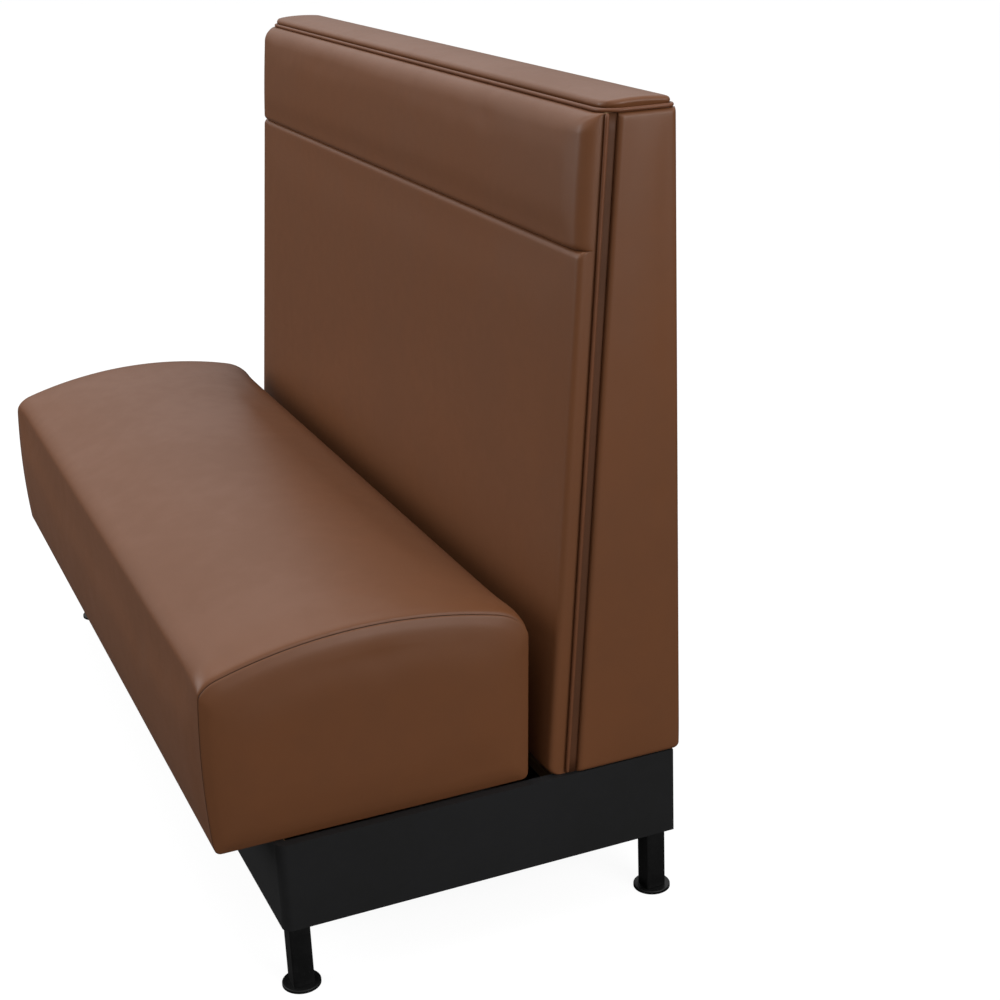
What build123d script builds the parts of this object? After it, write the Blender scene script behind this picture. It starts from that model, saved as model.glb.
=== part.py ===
"""A single-sided restaurant booth bench: padded seat, high padded back, black plinth, four levelling legs.

Sizes are millimetres. X runs along the bench, -Y is the front where people sit, and +Z is up.
The origin is on the floor, under the middle of the overall length and depth. Places along Y are
given as a depth, measured forward from the flat outside face of the back.
"""

import os
from math import cos, radians, sin

from build123d import *

# Overall sizes, over the covers
overall_length = 1524.0
overall_depth = 724.0
overall_height = 1219.0

# Sheet goods and clearances used everywhere
cover = 1.2
rest_gap = 0.3
screw_clearance = 0.1
running_clearance = 0.05
overrun = 2.0

# Plinth base
base_clearance = 102.0
base_height = 139.0
base_end_inset = 2.0
base_rear_inset = 12.0
base_front_setback = 88.0
base_board = 15.0
base_corner_radius = 14.0
base_hem = 14.0
bearer_thickness = 38.0
bearer_height = 89.0
bearer_depth = 125.0
cross_rail_count = 3
cross_rail_spacing = 380.0
cross_rail_thickness = 18.0
corner_block_size = 74.0
corner_block_height = 90.0
base_cloth_margin = 8.0
base_cloth_gap = 2.0

# Legs and levelling feet
tube_size = 32.0
tube_wall = 2.0
tube_corner_radius = 3.0
leg_end_inset = 4.0
leg_front_inset = 7.0
leg_rear_inset = 13.0
plate_size = 76.0
plate_thickness = 3.0
plate_gap = 0.2
plate_screw_inner = 10.0
plate_screw_outer = 20.0
plate_screw_radius = 2.1
plate_screw_head_radius = 4.2
plate_screw_head_height = 2.2
plate_screw_length = 32.0
disc_radius = 28.5
disc_thickness = 5.0
disc_edge_radius = 1.5
disc_pocket_depth = 3.0
disc_pocket_radius = 3.5
stem_radius = 5.0
stem_length = 56.0
stem_chamfer = 1.0
hex_across_flats = 17.0
hex_height = 5.0
hex_gap = 0.1
insert_height = 14.0
insert_recess = 6.0
insert_gap = 0.1

# Back frame
panel_depth_low = 188.0
panel_depth_high = 101.5
panel_thickness = 9.0
rear_panel_thickness = 5.0
back_board = 15.0
upright_count = 3
bottom_rail_width = 162.0
bottom_rail_thickness = 20.0
middle_rail_width = 70.0
middle_rail_thickness = 18.0
top_board_thickness = 15.0
back_bolt_radius = 4.0
back_bolt_length = 62.0
back_bolt_flats = 13.0
back_bolt_head = 5.5
washer_radius = 12.0
washer_thickness = 2.0

# Back upholstery
headroll_height = 182.0
cap_height = 18.0
welt_radius = 3.0
end_pad_thickness = 10.0
end_pad_setback = 7.0
end_pad_edge = 9.0
edge_proud = 24.0
lower_proud = 30.0
lower_roll = 13.0
lower_seam_roll = 10.0
headroll_proud = 31.0
headroll_bulge = 2.5
headroll_edge_bulge = 1.5
headroll_seam_roll = 9.0
headroll_top_roll = 32.0
headroll_top_proud = 3.0
back_end_roll = 34.0
cap_welt_gap = 1.0
cap_wall = 8.0
cap_corner = 6.0
cap_end_height = 16.5
cap_end_roll = 14.0
cap_front_round = 34.0
cap_rear_round = 14.0

# Seat outline at its end seams
seat_rear_low = 244.0
seat_rear_high = 235.0
seat_end_inset = 12.0
seat_end_crown = 5.0
seat_end_edge = 20.0
seat_front_height = 237.0
seat_rear_height = 229.0
seat_crown_height = 295.0
seat_crown_place = 274.0
seat_front_bulge = 4.5
seat_front_corner_run = 27.0
seat_front_corner_rise = 25.0
seat_rear_corner_run = 43.0
seat_rear_corner_rise = 41.0
seat_foot_roll = 9.0
seat_fullness = 12.0
seat_front_fullness = 1.5
seat_end_roll = 40.0

# Seat frame, springs and foam
seat_board = 18.0
seat_frame_height = 150.0
seat_frame_end_gap = 9.0
seat_frame_front_gap = 24.0
seat_frame_rear_gap = 18.0
stretcher_height = 90.0
seat_block_size = 45.0
seat_block_height = 100.0
seat_hem = 25.0
dust_cover_thickness = 0.8
dust_cover_gap = 0.5
cleat_length = 60.0
cleat_width = 21.0
cleat_height = 28.0
cleat_front_gap = 1.0
cleat_side_gap = 3.0
spring_count = 8
spring_spacing = 166.0
spring_wire = 3.8
spring_width = 48.0
spring_pitch = 24.0
spring_bend = 9.0
spring_seat = 10.0
clip_size = 14.0
clip_metal = 1.2
clip_gap = 0.2
insulator_thickness = 2.5

# Steps across each rounded end of a pad, from its seam to its full height
end_steps = 4

# Levels and places that follow from the sizes above
half_length = overall_length / 2
base_top = base_clearance + base_height
cap_low = overall_height - cap_height
headroll_seam_height = cap_low - headroll_height
cap_inset = 2 * welt_radius + cap_welt_gap
cap_front = panel_depth_high + headroll_top_proud + cap_inset
pad_top = cap_low - rest_gap
pad_low = base_top + rest_gap
base_x = half_length - base_end_inset
base_rear = base_rear_inset
base_front = overall_depth - base_front_setback
board_x = base_x - cover
board_rear = base_rear + cover
board_front = base_front - cover
board_low = base_clearance + cover
board_high = base_top - cover
inner_x = board_x - base_board
inner_rear = board_rear + base_board
inner_front = board_front - base_board
bearer_front = bearer_depth + bearer_thickness
leg_low = disc_thickness + rest_gap
frame_x = half_length - end_pad_thickness
frame_rear = cover + rear_panel_thickness
back_frame_high = cap_low - top_board_thickness
seat_x = half_length - seat_end_inset
seat_seam_x = seat_x - seat_end_crown
seat_low = base_top + rest_gap
seat_frame_low = seat_low + cover
seat_frame_high = seat_frame_low + seat_frame_height
seat_frame_x = seat_x - seat_frame_end_gap
seat_frame_front = overall_depth - seat_frame_front_gap
seat_frame_rear = seat_rear_low + seat_frame_rear_gap
insulator_low = seat_frame_high + spring_wire + clip_metal + clip_gap
foam_low = insulator_low + insulator_thickness

SIDES = {"left": -1, "right": 1}
ENDS = ("front", "rear")
parts = {}


def y_at(depth):
    """Y of a place that lies a depth forward of the back's outside face."""
    return overall_depth / 2 - depth


def panel_depth(z):
    """Depth of the sloping front face of the back's front panel, at height z."""
    rise_share = (z - base_top) / (cap_low - base_top)
    return panel_depth_low + (panel_depth_high - panel_depth_low) * rise_share


def box_between(x_range, depth_range, z_range):
    """A square-edged board between two corners."""
    (x_low, x_high), (near, far), (z_low, z_high) = x_range, depth_range, z_range
    with BuildPart() as board:
        with BuildSketch(Plane.XY.offset(z_low)):
            with Locations(((x_low + x_high) / 2, y_at((near + far) / 2))):
                Rectangle(x_high - x_low, far - near)
        extrude(amount=z_high - z_low)
    return board.part


def slab(x_low, x_high, outline):
    """A board of even thickness along X, with a straight-sided outline of depths and heights."""
    with BuildPart() as board:
        with BuildSketch(Plane.YZ.offset(x_low)):
            with BuildLine():
                Polyline([(y_at(depth), z) for depth, z in outline], close=True)
            make_face()
        extrude(amount=x_high - x_low)
    return board.part


def group(pieces):
    """Several separate solids as one node."""
    return Compound(children=[solid for piece in pieces for solid in piece.solids()])


def line(start, end):
    """A straight edge between two places given as depth and height."""
    Line((y_at(start[0]), start[1]), (y_at(end[0]), end[1]))


def arc(start, middle, end):
    """A round edge through three places given as depth and height."""
    ThreePointArc(*[(y_at(depth), z) for depth, z in (start, middle, end)])


def quarter(start, end, corner):
    """A rounded corner from start to end, which bulges towards the corner where its sides would meet."""
    bend_share = 1 - cos(radians(45))
    middle = [c + (s + e - 2 * c) * bend_share for s, e, c in zip(start, end, corner)]
    arc(start, middle, end)


def end_stations(half, roll):
    """Places along X with the pad's fullness there, 0 at each end seam and 1 past its rounded end."""
    turns = [radians(90) * step / end_steps for step in range(end_steps + 1)]
    right = [(half - roll * (1 - cos(turn)), sin(turn)) for turn in turns]
    return [(-x, full) for x, full in right] + [(x, full) for x, full in reversed(right)]


def long_pad(half, roll, outline, inset):
    """A pad along X whose crown and front fall away to its two end seams."""
    with BuildPart() as pad:
        for x, full in end_stations(half, roll):
            with BuildSketch(Plane.YZ.offset(x)):
                with BuildLine():
                    outline(full, inset)
                make_face()
        loft(ruled=True)
    return pad.part


def end_pad(side, x_low, x_high, edge, outline, inset):
    """A flat pad on an end of the bench, rounded over from its edge to its outer face."""
    turns = [radians(90) * step / end_steps for step in range(end_steps + 1)]
    with BuildPart() as pad:
        for turn in turns:
            x = x_low + (x_high - x_low) * sin(turn)
            with BuildSketch(Plane.YZ.offset(side * x)):
                with BuildLine():
                    outline(0, inset + edge * (1 - cos(turn)))
                make_face()
        loft(ruled=True)
    return pad.part


def lower_back_outline(full, inset):
    """Section of the lower back pad: flat on the panel, rolled at its foot and at the headroll seam."""
    proud = edge_proud + (lower_proud - edge_proud) * full - inset
    foot_roll = lower_roll * proud / lower_proud
    seam_roll = lower_seam_roll * proud / lower_proud
    low = pad_low + inset
    high = headroll_seam_height - inset
    foot = (panel_depth(low), low)
    toe = (panel_depth(low) + proud - foot_roll, low)
    rise = (panel_depth(low + foot_roll) + proud, low + foot_roll)
    shoulder = (panel_depth(high - seam_roll) + proud, high - seam_roll)
    seam = (panel_depth(high) + proud - seam_roll, high)
    head = (panel_depth(high), high)
    line(foot, toe)
    quarter(toe, rise, (rise[0], toe[1]))
    line(rise, shoulder)
    quarter(shoulder, seam, (shoulder[0], seam[1]))
    line(seam, head)
    line(head, foot)


def headroll_outline(full, inset):
    """Section of the headroll: a fuller pad that rolls back over its top edge to the welt."""
    proud = edge_proud + (headroll_proud - edge_proud) * full - inset
    seam_roll = headroll_seam_roll * proud / headroll_proud
    low = headroll_seam_height + inset
    high = pad_top - inset
    top_proud = headroll_top_proud * proud / headroll_proud
    foot = (panel_depth(low), low)
    seam = (panel_depth(low) + proud - seam_roll, low)
    rise = (panel_depth(low + seam_roll) + proud, low + seam_roll)
    shoulder = (panel_depth(high - headroll_top_roll) + proud, high - headroll_top_roll)
    middle = [(a + b) / 2 for a, b in zip(rise, shoulder)]
    bulge = headroll_edge_bulge + (headroll_bulge - headroll_edge_bulge) * full
    crown = (middle[0] + bulge, middle[1])
    lip = (panel_depth(high) + top_proud, high)
    head = (panel_depth(high), high)
    line(foot, seam)
    quarter(seam, rise, (rise[0], seam[1]))
    arc(rise, crown, shoulder)
    quarter(shoulder, lip, (shoulder[0], lip[1]))
    line(lip, head)
    line(head, foot)


def cap_outline(full, inset):
    """Section of the thin crowned pad on top of the back."""
    rear = cap_inset + inset
    front = cap_front - cap_inset - inset
    wall = cap_low + cap_wall
    corner = wall + cap_corner - inset
    top = cap_low + cap_end_height + (cap_height - cap_end_height) * full - inset
    heel = (rear, cap_low)
    heel_top = (rear, wall)
    rear_turn = (rear + cap_corner, corner)
    crown = ((rear + front) / 2, top)
    front_turn = (front - cap_corner, corner)
    toe_top = (front, wall)
    toe = (front, cap_low)
    line(heel, heel_top)
    quarter(heel_top, rear_turn, (rear, corner))
    arc(rear_turn, crown, front_turn)
    quarter(front_turn, toe_top, (front, corner))
    line(toe_top, toe)
    line(toe, heel)


def back_end_outline(full, inset):
    """Tapered outline of the pad on each end of the back. It has no crown of its own along X."""
    low = pad_low + inset
    high = pad_top - inset
    rear = full + inset
    lean = panel_thickness + end_pad_setback + inset
    foot = (rear, low)
    toe = (panel_depth(low) - lean, low)
    shoulder = (panel_depth(high) - lean, high)
    head = (rear, high)
    line(foot, toe)
    line(toe, shoulder)
    line(shoulder, head)
    line(head, foot)


def seat_outline(full, inset):
    """Section of the seat: bowed front, rounded front edge, long crown and a softer rear edge."""
    rise = seat_fullness * full - inset
    low = seat_low + inset
    front = overall_depth - seat_front_fullness * (1 - full) - seat_front_bulge - inset
    front_top = base_top + seat_front_height + rise
    crown_front = (front - seat_front_corner_run, front_top + seat_front_corner_rise)
    rear_top = base_top + seat_rear_height + rise
    rear_high = seat_rear_high + inset
    crown_rear = (rear_high + seat_rear_corner_run, rear_top + seat_rear_corner_rise)
    rear_low = seat_rear_low + inset
    toe = (front, low)
    brow = (front, front_top)
    belly = (front + seat_front_bulge, (low + front_top) / 2)
    crown = (overall_depth - seat_crown_place, base_top + seat_crown_height + rise)
    hip = (rear_high, rear_top)
    heel = (rear_low, low + seat_foot_roll)
    foot = (rear_low + seat_foot_roll, low)
    arc(toe, belly, brow)
    quarter(brow, crown_front, (brow[0], crown_front[1]))
    arc(crown_front, crown, crown_rear)
    quarter(crown_rear, hip, (hip[0], crown_rear[1]))
    line(hip, heel)
    quarter(heel, foot, (heel[0], foot[1]))
    line(foot, toe)


def leg_corner(side, end):
    """Outer corner of a leg in plan: its X and depth, and the way inwards along each."""
    x = side * (base_x - leg_end_inset)
    if end == "front":
        return x, base_front - leg_front_inset, -side, -1
    return x, base_rear + leg_rear_inset, -side, 1


def inward_range(start, way, size):
    """The two ends, in order, of a size laid off from a start along a way."""
    return sorted((start, start + way * size))


def plate_pocket(side, end):
    """The shallow pocket for a leg plate, cut from the boards, blocks and wrap under the base."""
    x, depth, x_way, depth_way = leg_corner(side, end)
    x_range = inward_range(x - x_way * plate_gap, x_way, plate_size + 2 * plate_gap)
    depth_range = inward_range(depth - depth_way * plate_gap, depth_way, plate_size + 2 * plate_gap)
    z_range = (base_clearance - overrun, base_clearance + plate_thickness + plate_gap)
    return box_between(x_range, depth_range, z_range)


def plate_screw_places(side, end):
    """Plan places of the three screws that hold a leg plate, as X and Y."""
    x, depth, x_way, depth_way = leg_corner(side, end)
    x_outer = x + x_way * plate_screw_outer
    x_inner = x + x_way * (plate_size - plate_screw_inner)
    depth_outer = depth + depth_way * plate_screw_outer
    depth_inner = depth + depth_way * (plate_size - plate_screw_inner)
    places = ((x_inner, depth_inner), (x_inner, depth_outer), (x_outer, depth_inner))
    return [(px, y_at(pd)) for px, pd in places]


def leg_centre(side, end):
    """Plan centre of a leg, as X and Y."""
    x, depth, x_way, depth_way = leg_corner(side, end)
    return x + x_way * tube_size / 2, y_at(depth + depth_way * tube_size / 2)


CORNERS = [(side, end) for side in SIDES for end in ENDS]
pockets = group([plate_pocket(SIDES[side], end) for side, end in CORNERS])


def base_boards():
    """The plinth's boards: front, rear, two ends, the bearer under the back and the cross rails."""
    heights = (board_low, board_high)
    parts["base_front_board"] = box_between((-inner_x, inner_x), (inner_front, board_front), heights)
    parts["base_rear_board"] = box_between((-inner_x, inner_x), (board_rear, inner_rear), heights)
    ends = []
    for side in SIDES.values():
        with BuildPart() as end_board:
            with BuildSketch(Plane.XY.offset(board_low)):
                with Locations((side * (inner_x + board_x) / 2, y_at((board_rear + board_front) / 2))):
                    Rectangle(base_board, board_front - board_rear)
            extrude(amount=board_high - board_low)
            upright_edges = end_board.edges().filter_by(Axis.Z)
            outer_edges = upright_edges.sort_by(Axis.X)[-2:] if side > 0 else upright_edges.sort_by(Axis.X)[:2]
            fillet(outer_edges.sort_by(Axis.Y)[0], base_corner_radius - cover)
        ends.append(end_board.part)
    parts["base_end_boards"] = group(ends)
    rail_low = base_top - bearer_height
    parts["base_bearer"] = box_between((-inner_x, inner_x), (bearer_depth, bearer_front), (rail_low, base_top))
    rails = []
    for index in range(cross_rail_count):
        x = (index - (cross_rail_count - 1) / 2) * cross_rail_spacing
        x_range = (x - cross_rail_thickness / 2, x + cross_rail_thickness / 2)
        rails.append(box_between(x_range, (bearer_front, inner_front), (rail_low, base_top)))
    parts["base_cross_rails"] = group(rails)


def corner_blocks():
    """Glue blocks inside the plinth's corners, which take the leg plate screws."""
    blocks = []
    for side, end in CORNERS:
        sign = SIDES[side]
        x_range = sorted((sign * inner_x, sign * (inner_x - corner_block_size)))
        if end == "front":
            depth_range = (inner_front - corner_block_size, inner_front)
        else:
            depth_range = (inner_rear, inner_rear + corner_block_size)
        block = box_between(x_range, depth_range, (board_low, board_low + corner_block_height))
        blocks.append(block)
    parts["base_corner_blocks"] = group(blocks)


def base_wrap():
    """The black sheet that wraps the plinth and turns over its upper and lower edges."""
    centre = (0, y_at((base_rear + base_front) / 2))
    sheet_length = 2 * base_x
    sheet_width = base_front - base_rear
    with BuildPart() as wrap:
        with BuildSketch(Plane.XY.offset(base_clearance)) as outside:
            with Locations(centre):
                Rectangle(sheet_length, sheet_width)
            fillet(outside.vertices().sort_by(Axis.Y)[:2], base_corner_radius)
        extrude(amount=base_height)
        with BuildSketch(Plane.XY.offset(board_low)) as inside:
            with Locations(centre):
                Rectangle(sheet_length - 2 * cover, sheet_width - 2 * cover)
            fillet(inside.vertices().sort_by(Axis.Y)[:2], base_corner_radius - cover)
        extrude(amount=board_high - board_low, mode=Mode.SUBTRACT)
        with BuildSketch(Plane.XY.offset(base_clearance - overrun)):
            with Locations(centre):
                Rectangle(sheet_length - 2 * (cover + base_hem), sheet_width - 2 * (cover + base_hem))
        extrude(amount=base_height + 2 * overrun, mode=Mode.SUBTRACT)
    parts["base_wrap"] = wrap.part


def cut_for_plates():
    """Cut the plate pockets and the screw holes from everything they pass through."""
    hole_radius = plate_screw_radius + screw_clearance
    hole_top = base_clearance + plate_screw_length + overrun
    places = [place for side, end in CORNERS for place in plate_screw_places(SIDES[side], end)]
    with BuildPart() as holes:
        with BuildSketch(Plane.XY.offset(base_clearance)):
            with Locations(places):
                Circle(hole_radius)
        extrude(amount=hole_top - base_clearance)
    for name in ("base_front_board", "base_rear_board", "base_end_boards", "base_wrap"):
        parts[name] = group([parts[name] - pockets])
    parts["base_corner_blocks"] = group([parts["base_corner_blocks"] - pockets - holes.part])


def base_dust_cover():
    """The black cloth stapled under the plinth, cut out round the leg plates."""
    reach = base_x - base_cloth_margin
    depths = (base_rear + base_cloth_margin, base_front - base_cloth_margin)
    heights = (base_clearance - dust_cover_thickness, base_clearance)
    cloth = box_between((-reach, reach), depths, heights)
    notch_size = leg_rear_inset + plate_size + base_cloth_gap
    notches = []
    for side, end in CORNERS:
        x, depth, x_way, depth_way = leg_corner(SIDES[side], end)
        x_range = inward_range(x - x_way * leg_rear_inset, x_way, notch_size)
        depth_range = inward_range(depth - depth_way * leg_rear_inset, depth_way, notch_size)
        notches.append(box_between(x_range, depth_range, heights))
    parts["base_dust_cover"] = cloth - group(notches)


def leg_plates():
    """Square steel plates, flush with the underside of the base, with countersunk holes."""
    plates = []
    screws = []
    for side, end in CORNERS:
        x, depth, x_way, depth_way = leg_corner(SIDES[side], end)
        centre = (x + x_way * plate_size / 2, y_at(depth + depth_way * plate_size / 2))
        places = plate_screw_places(SIDES[side], end)
        with BuildPart() as plate:
            with BuildSketch(Plane.XY.offset(base_clearance)):
                with Locations(centre):
                    Rectangle(plate_size, plate_size)
            extrude(amount=plate_thickness)
            with Locations(*[Location((px, py, base_clearance), (180, 0, 0)) for px, py in places]):
                CounterSinkHole(
                    plate_screw_radius + screw_clearance, plate_screw_head_radius + screw_clearance
                )
        plates.append(plate.part)
        for px, py in places:
            with BuildPart() as screw:
                with BuildSketch(Plane.XZ.offset(-py)):
                    with BuildLine():
                        Polyline(
                            (px, base_clearance),
                            (px + plate_screw_head_radius, base_clearance),
                            (px + plate_screw_radius, base_clearance + plate_screw_head_height),
                            (px + plate_screw_radius, base_clearance + plate_screw_length - plate_screw_radius),
                            (px, base_clearance + plate_screw_length),
                            close=True,
                        )
                    make_face()
                revolve(axis=Axis((px, py, 0), (0, 0, 1)))
            screws.append(screw.part)
    parts["leg_plates"] = group(plates)
    parts["leg_plate_screws"] = group(screws)


def legs_and_feet():
    """Square tube legs, their threaded inserts, and the disc and threaded stem of each foot."""
    inserts = []
    insert_low = leg_low + insert_recess
    for side, end in CORNERS:
        centre = leg_centre(SIDES[side], end)
        with BuildPart() as leg:
            with BuildSketch(Plane.XY.offset(leg_low)):
                with Locations(centre):
                    RectangleRounded(tube_size, tube_size, tube_corner_radius)
                    bore = tube_size - 2 * tube_wall
                    RectangleRounded(bore, bore, tube_corner_radius - tube_wall, mode=Mode.SUBTRACT)
            extrude(amount=base_clearance - leg_low)
        parts[f"leg_{end}_{side}"] = leg.part
        with BuildPart() as insert:
            with BuildSketch(Plane.XY.offset(insert_low)):
                with Locations(centre):
                    plug = bore - 2 * insert_gap
                    RectangleRounded(plug, plug, tube_corner_radius - tube_wall)
                    Circle(stem_radius, mode=Mode.SUBTRACT)
            extrude(amount=insert_height)
        inserts.append(insert.part)
        with BuildPart() as disc:
            with BuildSketch(Plane.XY):
                with Locations(centre):
                    Circle(disc_radius)
            extrude(amount=disc_thickness)
            top = disc.faces().sort_by(Axis.Z)[-1]
            fillet(top.edges(), disc_edge_radius)
            with BuildSketch(Plane.XY.offset(disc_thickness)):
                with Locations(centre):
                    Circle(disc_pocket_radius + running_clearance)
            extrude(amount=-disc_pocket_depth, mode=Mode.SUBTRACT)
        parts[f"foot_disc_{end}_{side}"] = disc.part
        hex_low = disc_thickness + hex_gap
        tail_low = disc_thickness - disc_pocket_depth + rest_gap
        with BuildPart() as stem:
            with BuildSketch(Plane.XY.offset(tail_low)):
                with Locations(centre):
                    Circle(disc_pocket_radius)
            extrude(amount=hex_low - tail_low)
            with BuildSketch(Plane.XY.offset(hex_low)):
                with Locations(centre):
                    RegularPolygon(hex_across_flats / 2, 6, major_radius=False)
            extrude(amount=hex_height)
            with BuildSketch(Plane.XY.offset(hex_low + hex_height)):
                with Locations(centre):
                    Circle(stem_radius - running_clearance)
            extrude(amount=stem_length - hex_height)
            chamfer(stem.faces().sort_by(Axis.Z)[-1].edges(), stem_chamfer)
        parts[f"foot_stem_{end}_{side}"] = stem.part
    parts["leg_thread_inserts"] = group(inserts)


def back_frame():
    """The back's timber: tapered end boards and uprights, rails between them, and its panels."""
    front = panel_thickness
    tapered = (
        (frame_rear, base_top),
        (panel_depth(base_top) - front, base_top),
        (panel_depth(back_frame_high) - front, back_frame_high),
        (frame_rear, back_frame_high),
    )
    ends = [slab(frame_x - back_board, frame_x, tapered), slab(-frame_x, back_board - frame_x, tapered)]
    parts["back_end_boards"] = group(ends)
    bay_count = upright_count + 1
    clear_length = 2 * (frame_x - back_board)
    bay = (clear_length - upright_count * back_board) / bay_count
    bays = []
    for index in range(bay_count):
        bay_start = -clear_length / 2 + index * (bay + back_board)
        bays.append((bay_start, bay_start + bay))
    uprights = [slab(bay_end, bay_end + back_board, tapered) for _, bay_end in bays[:-1]]
    parts["back_uprights"] = group(uprights)
    bolt_depth = bearer_depth + bearer_thickness / 2
    bolt_places = [((start + stop) / 2, y_at(bolt_depth)) for start, stop in bays]
    rail_top = base_top + bottom_rail_thickness
    bottoms = []
    middles = []
    middle_low = headroll_seam_height - middle_rail_width / 2
    middle_high = headroll_seam_height + middle_rail_width / 2
    back_face = front + middle_rail_thickness
    middle_outline = (
        (panel_depth(middle_low) - back_face, middle_low),
        (panel_depth(middle_low) - front, middle_low),
        (panel_depth(middle_high) - front, middle_high),
        (panel_depth(middle_high) - back_face, middle_high),
    )
    for bay_range, place in zip(bays, bolt_places):
        rail = box_between(bay_range, (frame_rear, frame_rear + bottom_rail_width), (base_top, rail_top))
        with BuildPart() as bottom:
            add(rail)
            with Locations((*place, rail_top)):
                Hole(back_bolt_radius + screw_clearance)
        bottoms.append(bottom.part)
        middles.append(slab(*bay_range, middle_outline))
    parts["back_bottom_rails"] = group(bottoms)
    parts["back_middle_rails"] = group(middles)
    parts["back_top_board"] = box_between(
        (-frame_x, frame_x), (frame_rear, panel_depth_high), (back_frame_high, cap_low)
    )
    panel_outline = (
        (panel_depth(base_top) - front, base_top),
        (panel_depth(base_top), base_top),
        (panel_depth(back_frame_high), back_frame_high),
        (panel_depth(back_frame_high) - front, back_frame_high),
    )
    parts["back_front_panel"] = slab(-frame_x, frame_x, panel_outline)
    parts["back_rear_panel"] = box_between((-frame_x, frame_x), (cover, frame_rear), (base_top, cap_low))
    bolt_back_down(bolt_places, rail_top)


def bolt_back_down(places, rail_top):
    """The bolts and washers that hold the back's bottom rails to the bearer, and the bearer's holes."""
    head_low = rail_top + washer_thickness
    bolts = []
    washers = []
    for place in places:
        with BuildPart() as bolt:
            with BuildSketch(Plane.XY.offset(head_low - back_bolt_length)):
                with Locations(place):
                    Circle(back_bolt_radius)
            extrude(amount=back_bolt_length)
            with BuildSketch(Plane.XY.offset(head_low)):
                with Locations(place):
                    RegularPolygon(back_bolt_flats / 2, 6, major_radius=False)
            extrude(amount=back_bolt_head)
        bolts.append(bolt.part)
        with BuildPart() as washer:
            with BuildSketch(Plane.XY.offset(rail_top)):
                with Locations(place):
                    Circle(washer_radius)
                    Circle(back_bolt_radius + screw_clearance, mode=Mode.SUBTRACT)
            extrude(amount=washer_thickness)
        washers.append(washer.part)
    hole_depth = back_bolt_length - washer_thickness - bottom_rail_thickness + overrun
    with BuildPart() as bearer:
        add(parts["base_bearer"])
        with Locations(*[(*place, base_top) for place in places]):
            Hole(back_bolt_radius + screw_clearance, hole_depth)
    parts["base_bearer"] = bearer.part
    parts["back_bolts"] = group(bolts)
    parts["back_washers"] = group(washers)


def side_boxing(side, low, high):
    """The strip of a front cover that turns back along the edge of the panel to the end pad."""
    start = panel_thickness + end_pad_setback - rest_gap
    outline = (
        (panel_depth(low) - start, low),
        (panel_depth(low), low),
        (panel_depth(high), high),
        (panel_depth(high) - start, high),
    )
    return slab(*sorted((side * frame_x, side * (frame_x + cover))), outline)


def back_pads():
    """Foam and cover of the lower back, the headroll and the top cap."""
    outer_x = frame_x + cover
    lower_foam = long_pad(frame_x, back_end_roll, lower_back_outline, cover)
    lower_skin = long_pad(outer_x, back_end_roll, lower_back_outline, 0) - lower_foam
    head_foam = long_pad(frame_x, back_end_roll, headroll_outline, cover)
    head_skin = long_pad(outer_x, back_end_roll, headroll_outline, 0) - head_foam
    for side in SIDES.values():
        lower_skin += side_boxing(side, pad_low, headroll_seam_height)
        head_skin += side_boxing(side, headroll_seam_height, pad_top)
    parts["lower_back_foam"] = lower_foam
    parts["lower_back_cover"] = lower_skin
    parts["headroll_foam"] = head_foam
    parts["headroll_cover"] = head_skin
    cap_x = half_length - cap_inset
    cap = long_pad(cap_x, cap_end_roll, cap_outline, 0) & cap_space(cap_inset, cap_low)
    cap_foam = long_pad(cap_x - cover, cap_end_roll, cap_outline, cover) & cap_space(cap_inset + cover, cap_low)
    parts["top_cap_foam"] = cap_foam
    parts["top_cap_cover"] = cap - cap_foam


def cap_space(inset, low):
    """Upright block over the cap's rounded plan, drawn in from the outer edge of the welt round it."""
    front = cap_front - inset
    with BuildPart() as block:
        with BuildSketch(Plane.XY.offset(low)) as plan:
            with Locations((0, y_at((inset + front) / 2))):
                Rectangle(2 * (half_length - inset), front - inset)
            fillet(plan.vertices().sort_by(Axis.Y)[:2], cap_front_round - inset)
            fillet(plan.vertices().sort_by(Axis.Y)[-2:], cap_rear_round - inset)
        extrude(amount=cap_height)
    return block.part


def back_welts():
    """The welt cord round the cap, and one down each side of the back's front."""
    route = cap_space(welt_radius, cap_low + welt_radius).faces().sort_by(Axis.Z)[0].outer_wire()
    with BuildPart() as top_welt:
        with BuildSketch(Plane(origin=route @ 0, z_dir=route % 0)):
            Circle(welt_radius)
        sweep(path=route)
    parts["top_welt"] = top_welt.part
    cords = []
    for side in SIDES.values():
        x = side * (frame_x + cover + welt_radius)
        with BuildPart() as cord:
            for z in (pad_low, pad_top):
                with BuildSketch(Plane.XY.offset(z)):
                    with Locations((x, y_at(panel_depth(z) + welt_radius))):
                        Circle(welt_radius)
            loft(ruled=True)
        cords.append(cord.part)
    parts["side_welts"] = group(cords)


def back_ends():
    """Foam and cover on the two ends of the back, and the flat cover over its outside."""
    foams = []
    for name, side in SIDES.items():
        foam = end_pad(side, frame_x, half_length - cover, end_pad_edge, back_end_outline, cover)
        skin = end_pad(side, frame_x, half_length, end_pad_edge, back_end_outline, 0)
        foams.append(foam)
        parts[f"end_cover_{name}"] = skin - foam
    parts["end_foams"] = group(foams)
    parts["outside_back_cover"] = box_between((-frame_x, frame_x), (0, cover), (pad_low, pad_top))


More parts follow.
